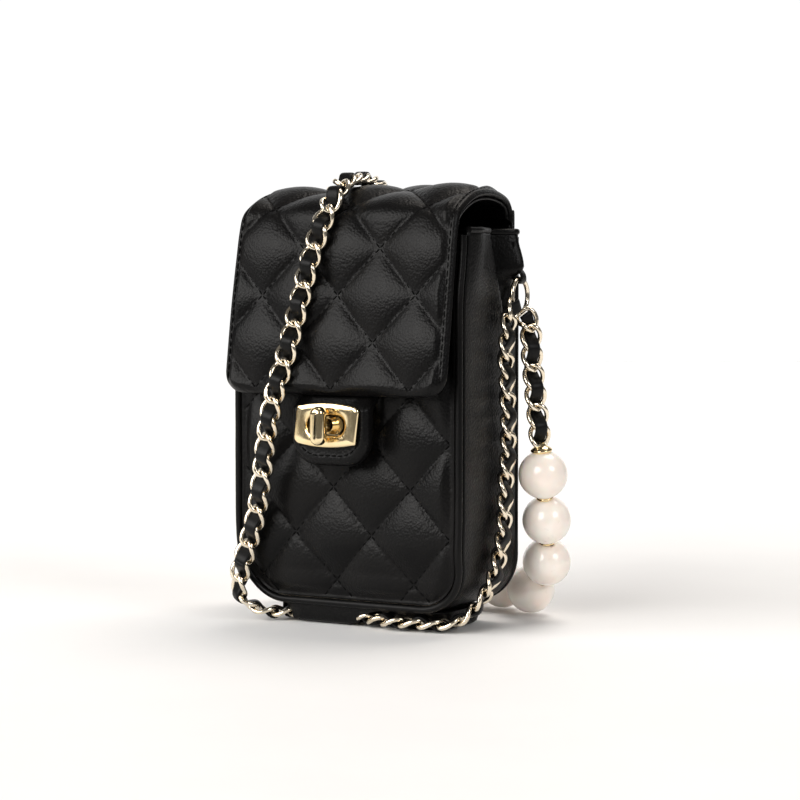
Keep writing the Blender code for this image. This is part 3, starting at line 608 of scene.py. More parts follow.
def front_swell(z):
    """How much wider the stuffed front is than its flat pattern, on each side."""
    return FRONT_SWELL * eased(z, 14.0, 50.0)


def front_lift(z):
    """How far the stuffed front's seam is pushed forward of its flat pattern."""
    return FRONT_LIFT * eased(z, 10.0, 36.0) * (1 - 0.64 * eased(z, 128.0, 157.0))


def near_front(y):
    """1 at the front seam and 0 from the gusset's middle on."""
    return 1 - eased(y, FRONT_Y + 0.5, -1.0)


def pleat(y, z):
    """The gusset's inward fold: a V that opens from a point near the ring up to the mouth."""
    rise = np.clip((z - PLEAT_START) / (BODY_TOP - PLEAT_START), 0, 1)
    front, back = [foot + (mouth - foot) * rise for foot, mouth in zip(PLEAT_FOOT, PLEAT_MOUTH)]
    crease = front + CREASE_SHARE * (back - front)
    across = np.clip(np.where(y < crease, (y - front) / (crease - front), (back - y) / (back - crease)), 0, 1)
    return PLEAT_DEPTH * rise**0.75 * np.sin(math.pi / 2 * across**1.5)


def ears(y, z):
    """How far the gusset stands out beside its fold near the mouth, at the front and at the back."""
    front = 1.6 * eased(z, 120.0, 156.0) * np.exp(-(((y + 12.0) / 6.0) ** 2))
    over_loop = eased(z, 139.5, 145.5) * (5.6 - 3.0 * eased(z, 145.0, 160.0))
    back = over_loop * np.exp(-(((y - 17.0) / 6.0) ** 2)) * eased(BACK_Y - y, 0.0, 3.6)
    return front + back


def panel_face(x, z, top, bulge, puff_low, puff_high, offset):
    """How far a body panel stands out from its seam at (x, z)."""
    is_front = bulge > BACK_BULGE
    half = side_half_width(z, PANEL_INSET) + (front_swell(z) if is_front else 0.0)
    rise = np.clip((z - PANEL_BOTTOM) / (top - PANEL_BOTTOM), 1e-6, 1 - 1e-6)
    swell = np.sin(math.pi * rise**0.75) ** 0.55
    u = np.clip(x / half, -1, 1)
    edge = np.minimum(np.minimum(half - np.abs(x), z - PANEL_BOTTOM), top - z)
    puff, pucker = quilting(x - offset[0], z - offset[1])
    lock = np.maximum(np.abs(x) - 13.0, np.abs(z - LOCK_Z) - 7.5)
    fullness = eased(edge, 0.8, 6.0)
    lift = 0.0
    if is_front:
        lift = front_lift(z)
        fullness = fullness * eased(lock, 0.0, 6.0) * (1 - 0.5 * eased(z, 98.0, 112.0))
    height = puff_low + (puff_high - puff_low) * puff * fullness + 0.16 * pucker * fullness
    crown = lift + np.maximum(bulge * swell - lift, 0.0) * (1 - u**4)
    return crown + height * eased(edge, 0.0, 2.2) + 0.12 * wander(x, z, 31.0, 2)


def body_panel(name, side, y_seam, top, bulge, puff_low, puff_high, offset):
    """A quilted panel, sewn along its diamonds. side is -1 for the front and 1 for the back."""
    low_rows = np.linspace(PANEL_BOTTOM, PANEL_BOTTOM + 8, 22, endpoint=False)
    heights = np.concatenate([low_rows, np.arange(PANEL_BOTTOM + 8, top - 0.4, 0.85), [top]])
    spread = np.linspace(-1, 1, 121)
    z = np.repeat(heights[:, None], len(spread), axis=1)
    x = (side_half_width(z, PANEL_INSET) + (front_swell(z) if side < 0 else 0.0)) * spread[None]
    face = y_seam + side * panel_face(x, z, top, bulge, puff_low, puff_high, offset)
    outer = np.stack([x, face, z], axis=2)
    inner = np.stack([x, np.full_like(x, y_seam - side * PANEL_T), z], axis=2)
    fit(piece(name + "_quilt", *soft_slab(outer, inner), QUILT_LEATHER), "bag", [name + "_panel"])

    def surface(across, along):
        px, pz = across + offset[0], along + offset[1]
        stands = float(panel_face(px, pz, top, bulge, puff_low, puff_high, offset))
        return np.array([px, y_seam + side * stands, pz]), np.array([0.0, side, 0.0])

    def sewn(across, along):
        px, pz = across + offset[0], along + offset[1]
        clear_of_lock = side > 0 or abs(px) > 13.5 or abs(pz - LOCK_Z) > 8
        clear_of_seam = abs(px) < side_half_width(pz, PANEL_INSET) - 1.2
        return PANEL_BOTTOM + 1.5 < pz < top - 1.5 and clear_of_seam and clear_of_lock

    low, high = (-52 - offset[0], PANEL_BOTTOM - offset[1]), (52 - offset[0], top - offset[1])
    thread = piece(name + "_quilt_stitching", *stitches(surface, sewn, low, high, STITCH_LIFT), THREAD)
    fit(thread, "bag")


def make_body():
    body_panel("front", -1, FRONT_Y - PANEL_T, BODY_TOP - 4, FRONT_BULGE, -0.9, 2.1, (-6.0, 57.0))
    body_panel("back", 1, BACK_Y + PANEL_T, BODY_TOP + 3, BACK_BULGE, -0.5, 1.2, (0.0, 57.0))
    make_gusset()
    make_edges()


def make_gusset():
    places, ways = body_outline(0.0, BODY_TOP, 2.0)
    across = np.linspace(0, 1, 33)
    y = FRONT_Y + 0.3 + (BACK_Y - FRONT_Y - 0.6) * across[None] * np.ones((len(places), 1))
    x, z = places[:, :1] * np.ones_like(y), places[:, 1:] * np.ones_like(y)
    way_x, way_z = ways[:, :1] * np.ones_like(y), ways[:, 1:] * np.ones_like(y)
    seam = np.minimum(y - FRONT_Y, BACK_Y - y)
    side = np.abs(way_x) ** 2
    slack = side * wander(y * 0.5, z, 42.0, 5) * eased(seam, 1.0, 9.0)
    stand = 0.25 * eased(seam, 0.0, 5.0) - 0.35 + 0.35 * slack
    fold = pleat(y, z) - ears(y, z) - front_swell(z) * side * near_front(y)
    deep = y - front_lift(z) * near_front(y)
    outer = np.stack([x + way_x * (stand - fold), deep, z + way_z * stand], axis=2)
    inner = np.stack([x - way_x * (fold + GUSSET_T), deep, z - way_z * GUSSET_T], axis=2)
    gusset = piece("side_gusset", *soft_slab(outer, inner), PLAIN_LEATHER)
    fit(gusset, "bag", ["gusset"])


def make_edges():
    """The piping, the gusset's lips, the hinge strip and the mouth's rolled edge."""
    up = (0.0, 0.0, 1.0)
    for name, centre_y in (("front", FRONT_Y - PIPING_R - 0.3), ("back", BACK_Y + PIPING_R)):
        places, _ = body_outline(PIPING_R, BODY_TOP - 2, 1.6)
        line = np.stack([places[:, 0], np.full(len(places), centre_y), places[:, 1]], axis=1)
        line[:, 1] += 0.10 * wander(line[:, 0], line[:, 2], 17.0, 3)
        if name == "front":
            line[:, 0] += np.sign(line[:, 0]) * front_swell(line[:, 2])
            line[:, 1] -= front_lift(line[:, 2])
        piping = piece(name + "_rolled_piping", *bar(line, circle(PIPING_R, 14)), EDGE_LEATHER, 60)
        fit(piping, "bag", [name + "_piping"])
    for name, side in (("right", 1), ("left", -1)):
        y = np.linspace(FRONT_Y + 0.9, BACK_Y - 0.9, 44)
        swell = front_swell(BODY_TOP) * near_front(y)
        x = side * (BODY_W / 2 - GUSSET_T / 2 - pleat(y, BODY_TOP) + ears(y, BODY_TOP) + swell)
        forward = y - front_lift(BODY_TOP) * near_front(y)
        line = np.stack([x, forward, BODY_TOP + 0.2 + 0.5 * wander(y, y, 19.0, 5)], axis=1)
        shape = bar(line, soft_rectangle(3.0, 2.6, 14, 0.8), np.tile(up, (len(line), 1)))
        fit(piece(name + "_rolled_lip", *shape, EDGE_LEATHER, 60), "bag")
    x = np.linspace(-49.5, 49.5, 60)
    line = np.stack([x, 23.7 + 0.1 * wander(x, x, 24.0, 3), np.full_like(x, 164.2)], axis=1)
    shape = bar(line, soft_rectangle(2.3, 9.6, 24, 0.5), np.tile(up, (60, 1)))
    strip = fit(piece("flap_hinge_strip", *shape, EDGE_LEATHER, 60))
    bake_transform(strip)
    x = np.linspace(-47.5, 47.5, 60)
    line = np.stack([x, -19.8 + 0.15 * wander(x, x, 24.0, 1), np.full_like(x, 157.5)], axis=1)
    shape = bar(line, soft_rectangle(9.2, 2.3, 16, 0.6), np.tile(up, (60, 1)))
    binding = piece("rolled_mouth_edge", *shape, EDGE_LEATHER, 60)
    fit(binding, "bag", ["mouth_binding"])


def lining_panel(name, y_near, y_far, node, seed):
    bottom = BODY_BOTTOM + LINING_INSET
    z = np.repeat(np.linspace(bottom, LINING_TOP, 90)[:, None], 61, axis=1)
    x = side_half_width(z, LINING_INSET) * np.linspace(-1, 1, 61)[None]
    slack = 0.35 * wander(x, z * 0.6, 26.0, seed) * eased(np.minimum(LINING_TOP - z, z - bottom), 0, 12)
    near = np.stack([x, y_near + slack, z], axis=2)
    far = np.stack([x, y_far + slack, z], axis=2)
    fit(piece(name, *soft_slab(near, far), LINING), "bag", [node])


def make_inside():
    lining_panel("front_lining_cloth", -15.9, -15.1, "lining_front", 4)
    lining_panel("back_lining_cloth", 19.2, 20.0, "lining_back", 7)
    places, ways = body_outline(LINING_INSET, LINING_TOP, 2.5)
    y = -14.8 + 33.7 * np.linspace(0, 1, 25)[None] * np.ones((len(places), 1))
    x, z = places[:, :1] * np.ones_like(y), places[:, 1:] * np.ones_like(y)
    way_x, way_z = ways[:, :1] * np.ones_like(y), ways[:, 1:] * np.ones_like(y)
    fold = pleat(y, z) + 0.25 * np.abs(way_x) * wander(y, z, 21.0, 9)
    layers = [np.stack([x - way_x * (fold + t), y, z - way_z * t], axis=2) for t in (0.0, 0.8)]
    fit(piece("side_lining_cloth", *soft_slab(*layers), LINING), "bag", ["lining_gusset"])
    make_pocket()
    for node in ("front_board", "back_board", "base_board"):
        paint(node, BOARD)


def make_pocket():
    spread = np.linspace(-POCKET_HALF_W, POCKET_HALF_W, 50)
    x, z = np.meshgrid(spread, np.linspace(POCKET_BOTTOM, POCKET_TOP, 50))
    edge = np.minimum(POCKET_HALF_W - np.abs(x), z - POCKET_BOTTOM)
    belly = POCKET_BELLY * eased(edge, 0.0, 6.0) + 0.25 * wander(x, z, 24.0, 11)
    outer = np.stack([x, POCKET_Y - belly - 0.8, z], axis=2)
    inner = np.stack([x, np.minimum(POCKET_Y - belly, POCKET_Y - 0.05), z], axis=2)
    cloth = piece("slip_pocket_cloth", *soft_slab(outer, inner), LINING)
    fit(cloth, "bag", ["slip_pocket"])
    hem_y = POCKET_Y - POCKET_BELLY * eased(POCKET_HALF_W - np.abs(spread), 0, 6.0) - 0.4
    line = np.stack([spread, hem_y, np.full(50, POCKET_TOP - 0.4)], axis=1)
    hem = bar(line, soft_rectangle(3.2, 1.5, 12), np.tile((0.0, -1.0, 0.0), (50, 1)))
    fit(piece("slip_pocket_hem", *hem, LINING, 60), "bag")


def paint(node, material):
    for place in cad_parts[node].material_slots:
        place.material = material


def make_base(under_line):
    """The padded base: flat underneath, rounded at its edge, and pressed in where the strap runs."""
    y = np.repeat(np.linspace(BASE_FRONT, BASE_BACK, 52)[:, None], 97, axis=1)
    from_end = np.minimum(y - BASE_FRONT, BASE_BACK - y)
    left = np.maximum(BASE_CORNER_R - from_end, 0)
    half = BASE_HALF_W - (BASE_CORNER_R - np.sqrt(np.maximum(BASE_CORNER_R**2 - left**2, 0)))
    x = half * np.linspace(-1, 1, 97)[None]
    edge = np.minimum(np.minimum(half - np.abs(x), from_end), 3.2) / 3.2
    underside = 3.0 * (1 - np.sqrt(np.maximum(1 - (1 - edge) ** 2, 0)))
    gap = np.min(np.hypot(x[..., None] - under_line[:, 0], y[..., None] - under_line[:, 1]), axis=2)
    arch = 3.4 + np.sqrt(np.maximum(3.8**2 - gap**2, 0)) - 4.2 * eased(gap, 3.2, 4.6)
    underside = np.maximum(underside, np.where(gap < 4.6, arch, 0.0))
    lower = np.stack([x, y, np.minimum(underside, 7.25)], axis=2)
    upper = np.stack([x, y, np.full_like(x, 7.45)], axis=2)
    base = piece("padded_base", *soft_slab(upper, lower), PLAIN_LEATHER, 50)
    fit(base, "bag", ["base_pad"])


# ---- Flap ----

def flap_line():
    """The flap's side view: its places, its outward directions and the distance along it."""
    places, run = smooth_through([(y, z) for y, z in FLAP_PROFILE], 0.8)
    along = unit(np.gradient(places, axis=0))
    return places, np.stack([along[:, 1], -along[:, 0]], axis=1), run


FLAP_PLACES, FLAP_OUT, FLAP_RUN = flap_line()
FLAP_LENGTH = FLAP_RUN[-1]
FLAP_VERTEX_RUN = float(np.interp(-134.5, -FLAP_PLACES[FLAP_RUN > 62, 1], FLAP_RUN[FLAP_RUN > 62]))


def flap_side(run):
    """Half the flap's width before its corners are rounded. It flares a little towards the bottom."""
    return FLAP_W / 2 + FLAP_FLARE * eased(run, 12.0, 110.0)


def flap_half(run):
    left = np.maximum(FLAP_CORNER_R - (FLAP_LENGTH - run), 0)
    return flap_side(run) - (FLAP_CORNER_R - np.sqrt(np.maximum(FLAP_CORNER_R**2 - left**2, 0)))


def flap_edge(x, run):
    """Distance from the flap's nearest edge."""
    sides = np.minimum(flap_side(run) - np.abs(x), FLAP_LENGTH - run)
    into_x = np.maximum(FLAP_CORNER_R - (flap_side(run) - np.abs(x)), 0)
    into_run = np.maximum(FLAP_CORNER_R - (FLAP_LENGTH - run), 0)
    corner = FLAP_CORNER_R - np.hypot(into_x, into_run)
    inside_corner = (into_x > 0) & (into_run > 0)
    return np.minimum(np.where(inside_corner, corner, sides), run + 1.0)


def flap_height(x, run):
    """How far the flap's leather stands from its rest line: quilted, with a rolled border at its sides."""
    edge = flap_edge(x, run)
    puff, pucker = quilting(x, run - FLAP_VERTEX_RUN)
    from_side = flap_side(run) - np.abs(x)
    inside = eased(from_side, BORDER, BORDER + 2.8) * eased(edge, 0.2, 3.5)
    roll = 0.35 * np.clip(np.sin(math.pi * np.clip(from_side / BORDER, 0, 1)), 0, 1) ** 0.6
    drop = 1.7 * (1 - np.clip(edge / 1.9, 0, 1)) ** 2
    quilt = -0.9 + 3.0 * puff * inside + 0.16 * pucker * inside
    return quilt + roll - drop + 0.15 * wander(x, run, 37.0, 6)


def flap_point(x, run, offset):
    y = np.interp(run, FLAP_RUN, FLAP_PLACES[:, 0])
    z = np.interp(run, FLAP_RUN, FLAP_PLACES[:, 1])
    out_y = np.interp(run, FLAP_RUN, FLAP_OUT[:, 0])
    out_z = np.interp(run, FLAP_RUN, FLAP_OUT[:, 1])
    return np.stack([x, y + out_y * offset, z + out_z * offset], axis=-1)


def bend_flap(thing):
    """Fixes the flap piece's placement into its mesh; the sheet is already shaped to fold over the front edge
    of the mouth.
    """
    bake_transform(thing)


def make_flap():
    run = np.repeat(FLAP_RUN[:, None], 127, axis=1)
    x = flap_half(run) * np.linspace(-1, 1, 127)[None]
    edge = np.clip(flap_edge(x, run) / 1.6, 0, 1)
    outer = flap_point(x, run, flap_height(x, run))
    inner = flap_point(x, run, -3.9 + 1.1 * (1 - edge) ** 2)
    flap = piece("flap_quilt", *soft_slab(outer, inner), QUILT_LEATHER)
    bend_flap(fit(flap, None, ["flap_top_outer", "flap_front_outer"]))
    run = np.repeat(np.linspace(1.0, FLAP_LENGTH - 1.6, 110)[:, None], 81, axis=1)
    x = (flap_half(run) - 1.4) * np.linspace(-1, 1, 81)[None]
    slack = 0.15 * wander(x, run, 24.0, 8)
    layers = [flap_point(x, run, -4.25 + slack), flap_point(x, run, -5.15 + slack)]
    lining = piece("flap_lining_cloth", *soft_slab(*layers), PLAIN_LEATHER)
    bend_flap(fit(lining, None, ["flap_top_lining", "flap_front_lining"]))

    def surface(across, along):
        at = along + FLAP_VERTEX_RUN
        up = flap_point(0.0, at, 1.0) - flap_point(0.0, at, 0.0)
        return flap_point(across, at, float(flap_height(across, at))), up

    def sewn(across, along):
        return abs(across) < FLAP_W / 2 - BORDER - 0.6 and FLAP_LENGTH - along - FLAP_VERTEX_RUN > 2.0

    low, high = (-50, 1.0 - FLAP_VERTEX_RUN), (50, FLAP_LENGTH - FLAP_VERTEX_RUN)
    thread = piece("flap_stitching", *stitches(surface, sewn, low, high, STITCH_LIFT), THREAD)
    bend_flap(fit(thread))
    seam = np.arange(3.0, FLAP_LENGTH - 2.5, 1.0)
    edge_run = np.stack([flap_side(seam) - BORDER, seam], axis=1)
    places = flap_point(edge_run[:, 0], edge_run[:, 1], flap_height(edge_run[:, 0], edge_run[:, 1]))
    ups = flap_point(edge_run[:, 0], edge_run[:, 1], 1.0) - flap_point(edge_run[:, 0], edge_run[:, 1], 0.0)
    left = places * (-1, 1, 1)
    rows = [sewn_row(places, ups, 0.16), sewn_row(left, ups, 0.16)]
    thread = piece("flap_border_stitching", *join(rows), THREAD)
    bend_flap(fit(thread))


# ---- Lock ----

def rounded_box(width, height, radius, x=0.0, z=0.0, steps=10):
    points = []
    for quarter, (sx, sz) in enumerate(((1, -1), (1, 1), (-1, 1), (-1, -1))):
        for turn in np.radians(np.linspace(-90, 0, steps) + 90 * quarter):
            cx, cz = sx * (width / 2 - radius), sz * (height / 2 - radius)
            points.append((x + cx + radius * math.cos(turn), z + cz + radius * math.sin(turn)))
    return np.array(points)


def seen_from(outline, centre, count):
    """The outline's places in evenly turned directions from a centre."""
    outline = np.asarray(outline, float)
    ahead = np.roll(outline, -1, axis=0)
    places = []
    for turn in np.linspace(0, 2 * math.pi, count, endpoint=False):
        way = np.array([math.cos(turn), math.sin(turn)])
        best = 0.0
        for a, b in zip(outline - centre, ahead - centre):
            edge = b - a
            cross = way[0] * edge[1] - way[1] * edge[0]
            if abs(cross) < 1e-12:
                continue
            reach = (a[0] * edge[1] - a[1] * edge[0]) / cross
            share = (a[0] * way[1] - a[1] * way[0]) / cross
            if reach > best and -1e-9 <= share <= 1 + 1e-9:
                best = reach
        places.append(centre + way * best)
    return np.array(places)


def framed(outer, inner, rows):
    """A flat ring between two outlines. Each row is (share of the way in, y)."""
    points = []
    for share, y in rows:
        flat = outer + (inner - outer) * share
        points.append(np.stack([flat[:, 0], np.full(len(flat), y), flat[:, 1]], axis=1))
    return outward(np.vstack(points), grid_faces(len(rows), len(outer), True, True))


def stacked(outline_at, rows, count):
    """Outlines one in front of another, closed by a face at each end. Each row is (inset, y)."""
    points = []
    for inset, y in rows:
        flat = outline_at(inset)
        points.append(np.stack([flat[:, 0], np.full(count, y), flat[:, 1]], axis=1))
    faces = grid_faces(len(rows), count, False, True)
    faces += [list(range(count)), list(range((len(rows) - 1) * count, len(rows) * count))[::-1]]
    return outward(np.vstack(points), faces)


def bowed_plate(width, height, bow, ease):
    x = np.linspace(-1, 1, 40) * (width / 2 - ease)
    edge = height / 2 - bow * (2 * x / width) ** 2
    side = height / 2 - bow - ease
    half = [*zip(x, edge), (width / 2 - ease * 0.3, side + ease * 0.7), (width / 2, side)]
    return np.array([(a, LOCK_Z + b) for a, b in half] + [(-a, LOCK_Z - b) for a, b in half])


def tongue_shape():
    """The tongue's outline, broad and round at the bottom and square where it goes under the flap."""
    lower = rounded_box(35.6, 36.0, 11.0, z=84.5)
    lower = lower[lower[:, 1] < LOCK_Z]
    under_flap = [(17.8, 98.5), (16.4, 100.6), (-16.4, 100.6), (-17.8, 98.5)]
    return np.vstack([lower[np.argsort(lower[:, 0])], under_flap])


def make_tongue(centre, count):
    """The padded leather tongue with its row of stitches."""
    slot_wide = seen_from(rounded_box(18.8, 9.5, 4.7, z=LOCK_Z), centre, count)
    outer = seen_from(tongue_shape(), centre, count)
    rows = [(0.34, -34.3), (0.16, -34.5), (0.06, -35.0), (0.01, -36.0), (0.0, -37.3), (0.03, -38.8)]
    rows += [(0.10, -40.1), (0.20, -40.9), (0.30, -41.05), (0.38, -40.75), (0.50, -40.7), (0.8, -40.7)]
    rows += [(0.97, -40.7), (1.0, -40.4), (1.0, -34.7), (0.97, -34.3)]
    points, faces = framed(outer, slot_wide, rows)
    points[:, 1] += 5.9 * eased(points[:, 2], 88.5, 95.0)
    deep = points[:, 2] > 93
    points[deep, 1] = np.minimum(points[deep, 1], -31.6)
    tongue = piece("lock_tongue", points, faces, PLAIN_LEATHER)
    fit(tongue, "flap_front", ["closure_tab"])
    seam = outer + (slot_wide - outer) * 0.36
    seam = seam[seam[:, 1] < 88.0]
    seam = seam[np.argsort(np.arctan2(seam[:, 0], LOCK_Z - seam[:, 1]))]
    line = np.stack([seam[:, 0], np.full(len(seam), -40.78), seam[:, 1]], axis=1)
    thread = sewn_row(line, np.tile((0.0, -1.0, 0.0), (len(line), 1)), 0.1, 2.9)
    fit(piece("tongue_stitching", *thread, THREAD), "flap_front")


def make_lock():
    centre, count = np.array([0.0, LOCK_Z]), 192
    make_tongue(centre, count)
    slot = seen_from(rounded_box(17.6, 8.3, 4.14, z=LOCK_Z), centre, count)
    plate = seen_from(bowed_plate(30.0, 18.0, 1.8, 1.6), centre, count)
    rows = [(0.06, -41.1), (0.0, -41.3), (0.0, -42.2), (0.03, -42.7), (0.09, -43.05), (0.2, -43.22)]
    rows += [(0.5, -43.35), (0.82, -43.3), (0.93, -43.15), (0.985, -42.8), (1.0, -42.4), (1.0, -41.3)]
    rows += [(0.97, -41.1)]
    plate = piece("bowed_lock_plate", *framed(plate, slot, rows), GOLD)
    fit(plate, "flap_front", ["lock_plate"])

    def knob_outline(inset):
        width = KNOB_W - 2 * inset
        return rounded_box(width, KNOB_LENGTH - 2 * inset, width / 2 - 0.01, z=LOCK_Z)

    rows = [(1.3, -46.35), (0.5, -46.5), (0.1, -46.9), (0.0, -47.5), (0.0, -48.6), (0.12, -49.5)]
    rows += [(0.5, -50.3), (1.1, -50.8), (1.9, -51.1), (2.6, -51.2)]
    bar_shape = stacked(knob_outline, rows, 40)
    shaft = [(2.5, -16.4), (2.5, -45.6), (2.9, -46.2), (3.1, -46.8), (1.2, -46.9), (1.2, -16.4)]
    neck = turned([(radius, y) for radius, y in shaft], (0, 0, LOCK_Z), (0, 1, 0), 32)
    knob = piece("turn_knob_bar", *join([bar_shape, neck]), GOLD)
    fit(knob, "turn_knob", ["turn_knob"])
    paint("lock_base_plate", GOLD)
    paint("lock_plate_back", GOLD)
    paint("lock_backing_plate", STEEL)
    paint("knob_washer", STEEL)


# ---- Rings, chains and handle ----

def chain_frame(line, facing):
    """Distances along a chain, and a function that gives its place, across and facing at any of them."""
    run = np.concatenate([[0], np.cumsum(np.linalg.norm(np.diff(line, axis=0), axis=1))])
    _, across, facing = frames_along(line, facing)

    def at(wanted, table):
        return np.stack([np.interp(wanted, run, column) for column in table.T], axis=-1)

    def spot(wanted):
        return at(wanted, line), unit(at(wanted, across)), unit(at(wanted, facing))

    return run, spot


def link(spot, middle):
    """One twisted curb link, bent to the chain's run."""
    turns = np.linspace(0, 2 * math.pi, 30, endpoint=False)
    forward, sideways = LINK_HALF * np.cos(turns), LINK_WIDE * np.sin(turns)
    lean = LINK_TWIST * np.cos(turns)
    place, across, facing = spot(middle + forward)
    wire = place + across * (sideways * np.cos(lean))[:, None] + facing * (sideways * np.sin(lean))[:, None]
    loop = np.vstack([wire[-1:], wire, wire[:1]])
    along = unit(loop[2:] - loop[:-2])
    inward = unit(wire - wire.mean(0))
    inward = unit(inward - along * (inward * along).sum(1, keepdims=True))
    third = np.cross(along, inward)
    ring = circle(LINK_WIRE_R, 8)
    points = wire[:, None] + inward[:, None] * ring[None, :, :1] + third[:, None] * ring[None, :, 1:2]
    return outward(points.reshape(-1, 3), grid_faces(len(wire), 8, True, True))


def links(spot, first, last, total):
    """Every link whose middle lies between two distances."""
    middles = np.arange(LINK_PITCH / 2, total - LINK_PITCH / 3, LINK_PITCH)
    return join([link(spot, middle) for middle in middles if first <= middle < last])


def woven_ribbon(spot, first, last):
    """The leather ribbon that goes over one pair of links and under the next."""
    wanted = np.linspace(first, last, max(8, int(last - first)))
    place, _, facing = spot(wanted)
    weave = RIBBON_WEAVE * np.cos(math.pi * wanted / LINK_PITCH)
    return bar(place + facing * weave[:, None], soft_rectangle(RIBBON_W, RIBBON_T, 12, 0.5), facing)


def make_strap():
    """Three stretches of one chain: down the side and under, over the front, and round the floor."""
    marks = [(*place, *facing) for place, facing in SIDE_ROUTE + FRONT_ROUTE + FLOOR_ROUTE]
    table, _ = smooth_through(marks, 1.0)
    line = table[:, :3]
    run, spot = chain_frame(line, table[:, 3:])

    def whole_links_to(place):
        nearest = np.argmin(np.linalg.norm(line - np.array(place), axis=1))
        return LINK_PITCH * round(float(run[nearest]) / LINK_PITCH)

    first_cut = whole_links_to(SIDE_ROUTE[-1][0])
    second_cut = whole_links_to(FRONT_ROUTE[-1][0])
    total = float(run[-1])
    stretches = (
        ("strap_side_chain", "strap_side", 0.0, first_cut),
        ("strap_front_chain", "strap_front", first_cut, second_cut),
        ("strap_floor_chain", "strap_back", second_cut, total),
    )
    for name, node, first, last in stretches:
        chain = piece(name, *links(spot, first, last, total), CHAIN_GOLD)
        ribbon = piece(name.replace("chain", "ribbon"), *woven_ribbon(spot, first, last), RIBBON_LEATHER)
        path = line[(run >= first - 0.5) & (run <= last + 0.5)] * MM
        tuple(path[0])
        (last - first) * MM
        for thing in (chain, ribbon):
            if node == "strap_front":
                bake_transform(thing)
            else:
                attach(thing, "bag")
        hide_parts(node)
    return line[(run < first_cut) & (line[:, 2] < 12)]


def make_rings():
    for name, side in (("right", 1), ("left", -1)):
        x, y, z = side * RING[0], RING[1], RING[2]
        turns = np.linspace(0, 2 * math.pi, 72, endpoint=False)
        line = np.stack([np.full(72, x), y + RING_R * np.cos(turns), z + RING_R * np.sin(turns)], axis=1)
        facing = np.tile((1.0, 0.0, 0.0), (72, 1))
        loop = np.vstack([line[-1:], line, line[:1]])
        along = unit(loop[2:] - loop[:-2])
        ring = circle(RING_WIRE_R, 14)
        out = np.cross(along, facing)
        points = line[:, None] + out[:, None] * ring[None, :, :1] + facing[:, None] * ring[None, :, 1:2]
        shape = outward(points.reshape(-1, 3), grid_faces(72, 14, True, True))
        fit(piece(name + "_gold_ring", *shape, CHAIN_GOLD), "bag", [name + "_ring"])
        loop_z = z + RING_R
        path = [(52.6, 156.0), (52.6, 150.0), (52.8, 145.5), (53.6, 142.6)]
        for t in np.radians(np.linspace(190, 345, 8)):
            path.append((RING[0] + 1.75 * math.cos(t), loop_z + 1.75 * math.sin(t)))
        path += [(57.0, 142.6), (55.6, 144.6), (54.4, 146.6), (53.75, 150.0), (53.7, 156.0)]
        table, _ = smooth_through([(side * px, y, pz) for px, pz in path], 0.8)
        outwards = np.cross(unit(np.gradient(table, axis=0)), (0.0, 1.0, 0.0))
        shape = bar(table, soft_rectangle(4.6, 0.95, 12, 0.5), outwards)
        strip = piece(name + "_ring_loop", *shape, EDGE_LEATHER, 60)
        fit(strip, "bag", [name + "_ring_tab"])


def flipped(points):
    return [(-p[0], *p[1:]) for p in reversed(points)]


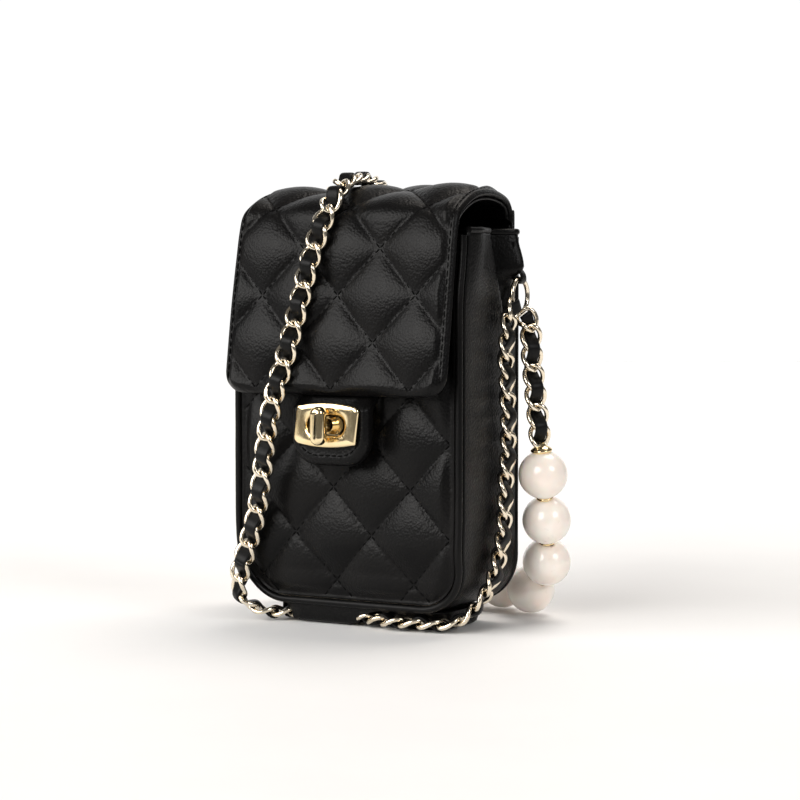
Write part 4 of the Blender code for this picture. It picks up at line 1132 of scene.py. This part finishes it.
def make_handle():
    centres = np.array(PEARLS + flipped(PEARLS), float)
    along = unit(np.gradient(centres, axis=0))
    lean = np.linspace(math.radians(8), math.radians(172), 26)
    shape = [(PEARL_R * math.sin(t), -PEARL_R * math.cos(t)) for t in lean]
    profile = [(1.1, -8.9), (1.15, -9.6), *shape, (1.15, 9.6), (1.1, 8.9)]
    for number, (centre, way) in enumerate(zip(centres, along), 1):
        bead = turned(profile, centre, way, 44, 0.004 * math.sin(number * 2.1))
        fit(piece(f"bead_{number}", *bead, PEARL), "handle", [f"pearl_{number}"])
    washers = []
    rim = [(1.1, -0.45), (2.7, -0.75), (3.35, -0.5), (3.6, 0.0), (3.35, 0.5), (2.7, 0.75), (1.1, 0.45)]
    for a, b in zip(centres[:-1], centres[1:]):
        washers.append(turned(rim, (a + b) / 2, b - a, 32))
    fit(piece("bead_spacers", *join(washers), GOLD), "handle")
    caps = []
    cup = [(0.9, -3.4), (4.1, -1.1), (4.5, -0.5), (4.3, 0.0), (3.2, 0.9), (1.9, 1.5), (1.5, 2.4)]
    cup += [(1.0, 2.8), (0.9, 2.8)]
    way = np.array([0.0, -1.6, 10.0])
    for centre in (centres[0], centres[-1]):
        caps.append(turned(cup, centre + unit(way) * (PEARL_R + 0.6), way, 32))
    fit(piece("handle_end_caps", *join(caps), GOLD), "handle")
    for name, side in (("right", 1), ("left", -1)):
        table, _ = smooth_through([(side * x, y, z) for x, y, z in HANDLE_CHAIN], 1.0)
        run, spot = chain_frame(table, np.tile((side * 0.8, -0.6, 0.0), (len(table), 1)))
        chain = piece(f"handle_{name}_links", *links(spot, 0.0, 999.0, float(run[-1])), CHAIN_GOLD)
        fit(chain, "handle", [f"handle_chain_{name}"])
        woven_through = woven_ribbon(spot, 2.0, float(run[-1]) - 1.0)
        ribbon = piece(f"handle_{name}_ribbon", *woven_through, RIBBON_LEATHER)
        fit(ribbon, "handle")
    paint("handle_cable", STEEL)


# ---- Studio ----

def make_studio():
    """A paper floor that ends a little way in front of the purse, a lit wall behind it and broad lights."""
    near_x, near_y = math.sin(math.radians(VIEW_TURN)), -math.cos(math.radians(VIEW_TURN))
    sheet = [(380, -3300), (380, 3300), (-3400, 3300), (-3400, -3300)]
    points = [(near_x * near - near_y * side, near_y * near + near_x * side, -0.4) for near, side in sheet]
    floor = piece("studio_floor", points, [list(range(4))], FLOOR)
    corners = ((-2200, -2), (2200, -2), (2200, 2600), (-2200, 2600))
    wall = [(-1500 + x, 2600 - near_x / near_y * x, z) for x, z in corners]
    backdrop = piece("studio_backdrop", wall, [[0, 1, 2, 3]], BACKDROP)
    world = bpy.data.worlds.new("studio")
    bpy.context.scene.world = world
    world.use_nodes = True
    background = world.node_tree.nodes["Background"]
    background.inputs["Color"].default_value = (1.0, 0.99, 0.98, 1)
    background.inputs["Strength"].default_value = 0.13
    sunlight("key", (-0.72, -0.86, 0.52), 42, 1.9, (1.0, 0.98, 0.96))
    sunlight("front", (-0.12, -1.0, 0.45), 34, 1.7, (1.0, 0.98, 0.95))
    sunlight("side", (1.0, -0.30, 0.55), 24, 0.8)
    sunlight("top", (0.1, 0.40, 1.0), 35, 1.5, (1.0, 0.93, 0.86))


make_base(make_strap())
make_body()
make_inside()
make_flap()
make_lock()
make_rings()
make_handle()
make_studio()
bpy.context.scene.view_settings.view_transform = "Standard"
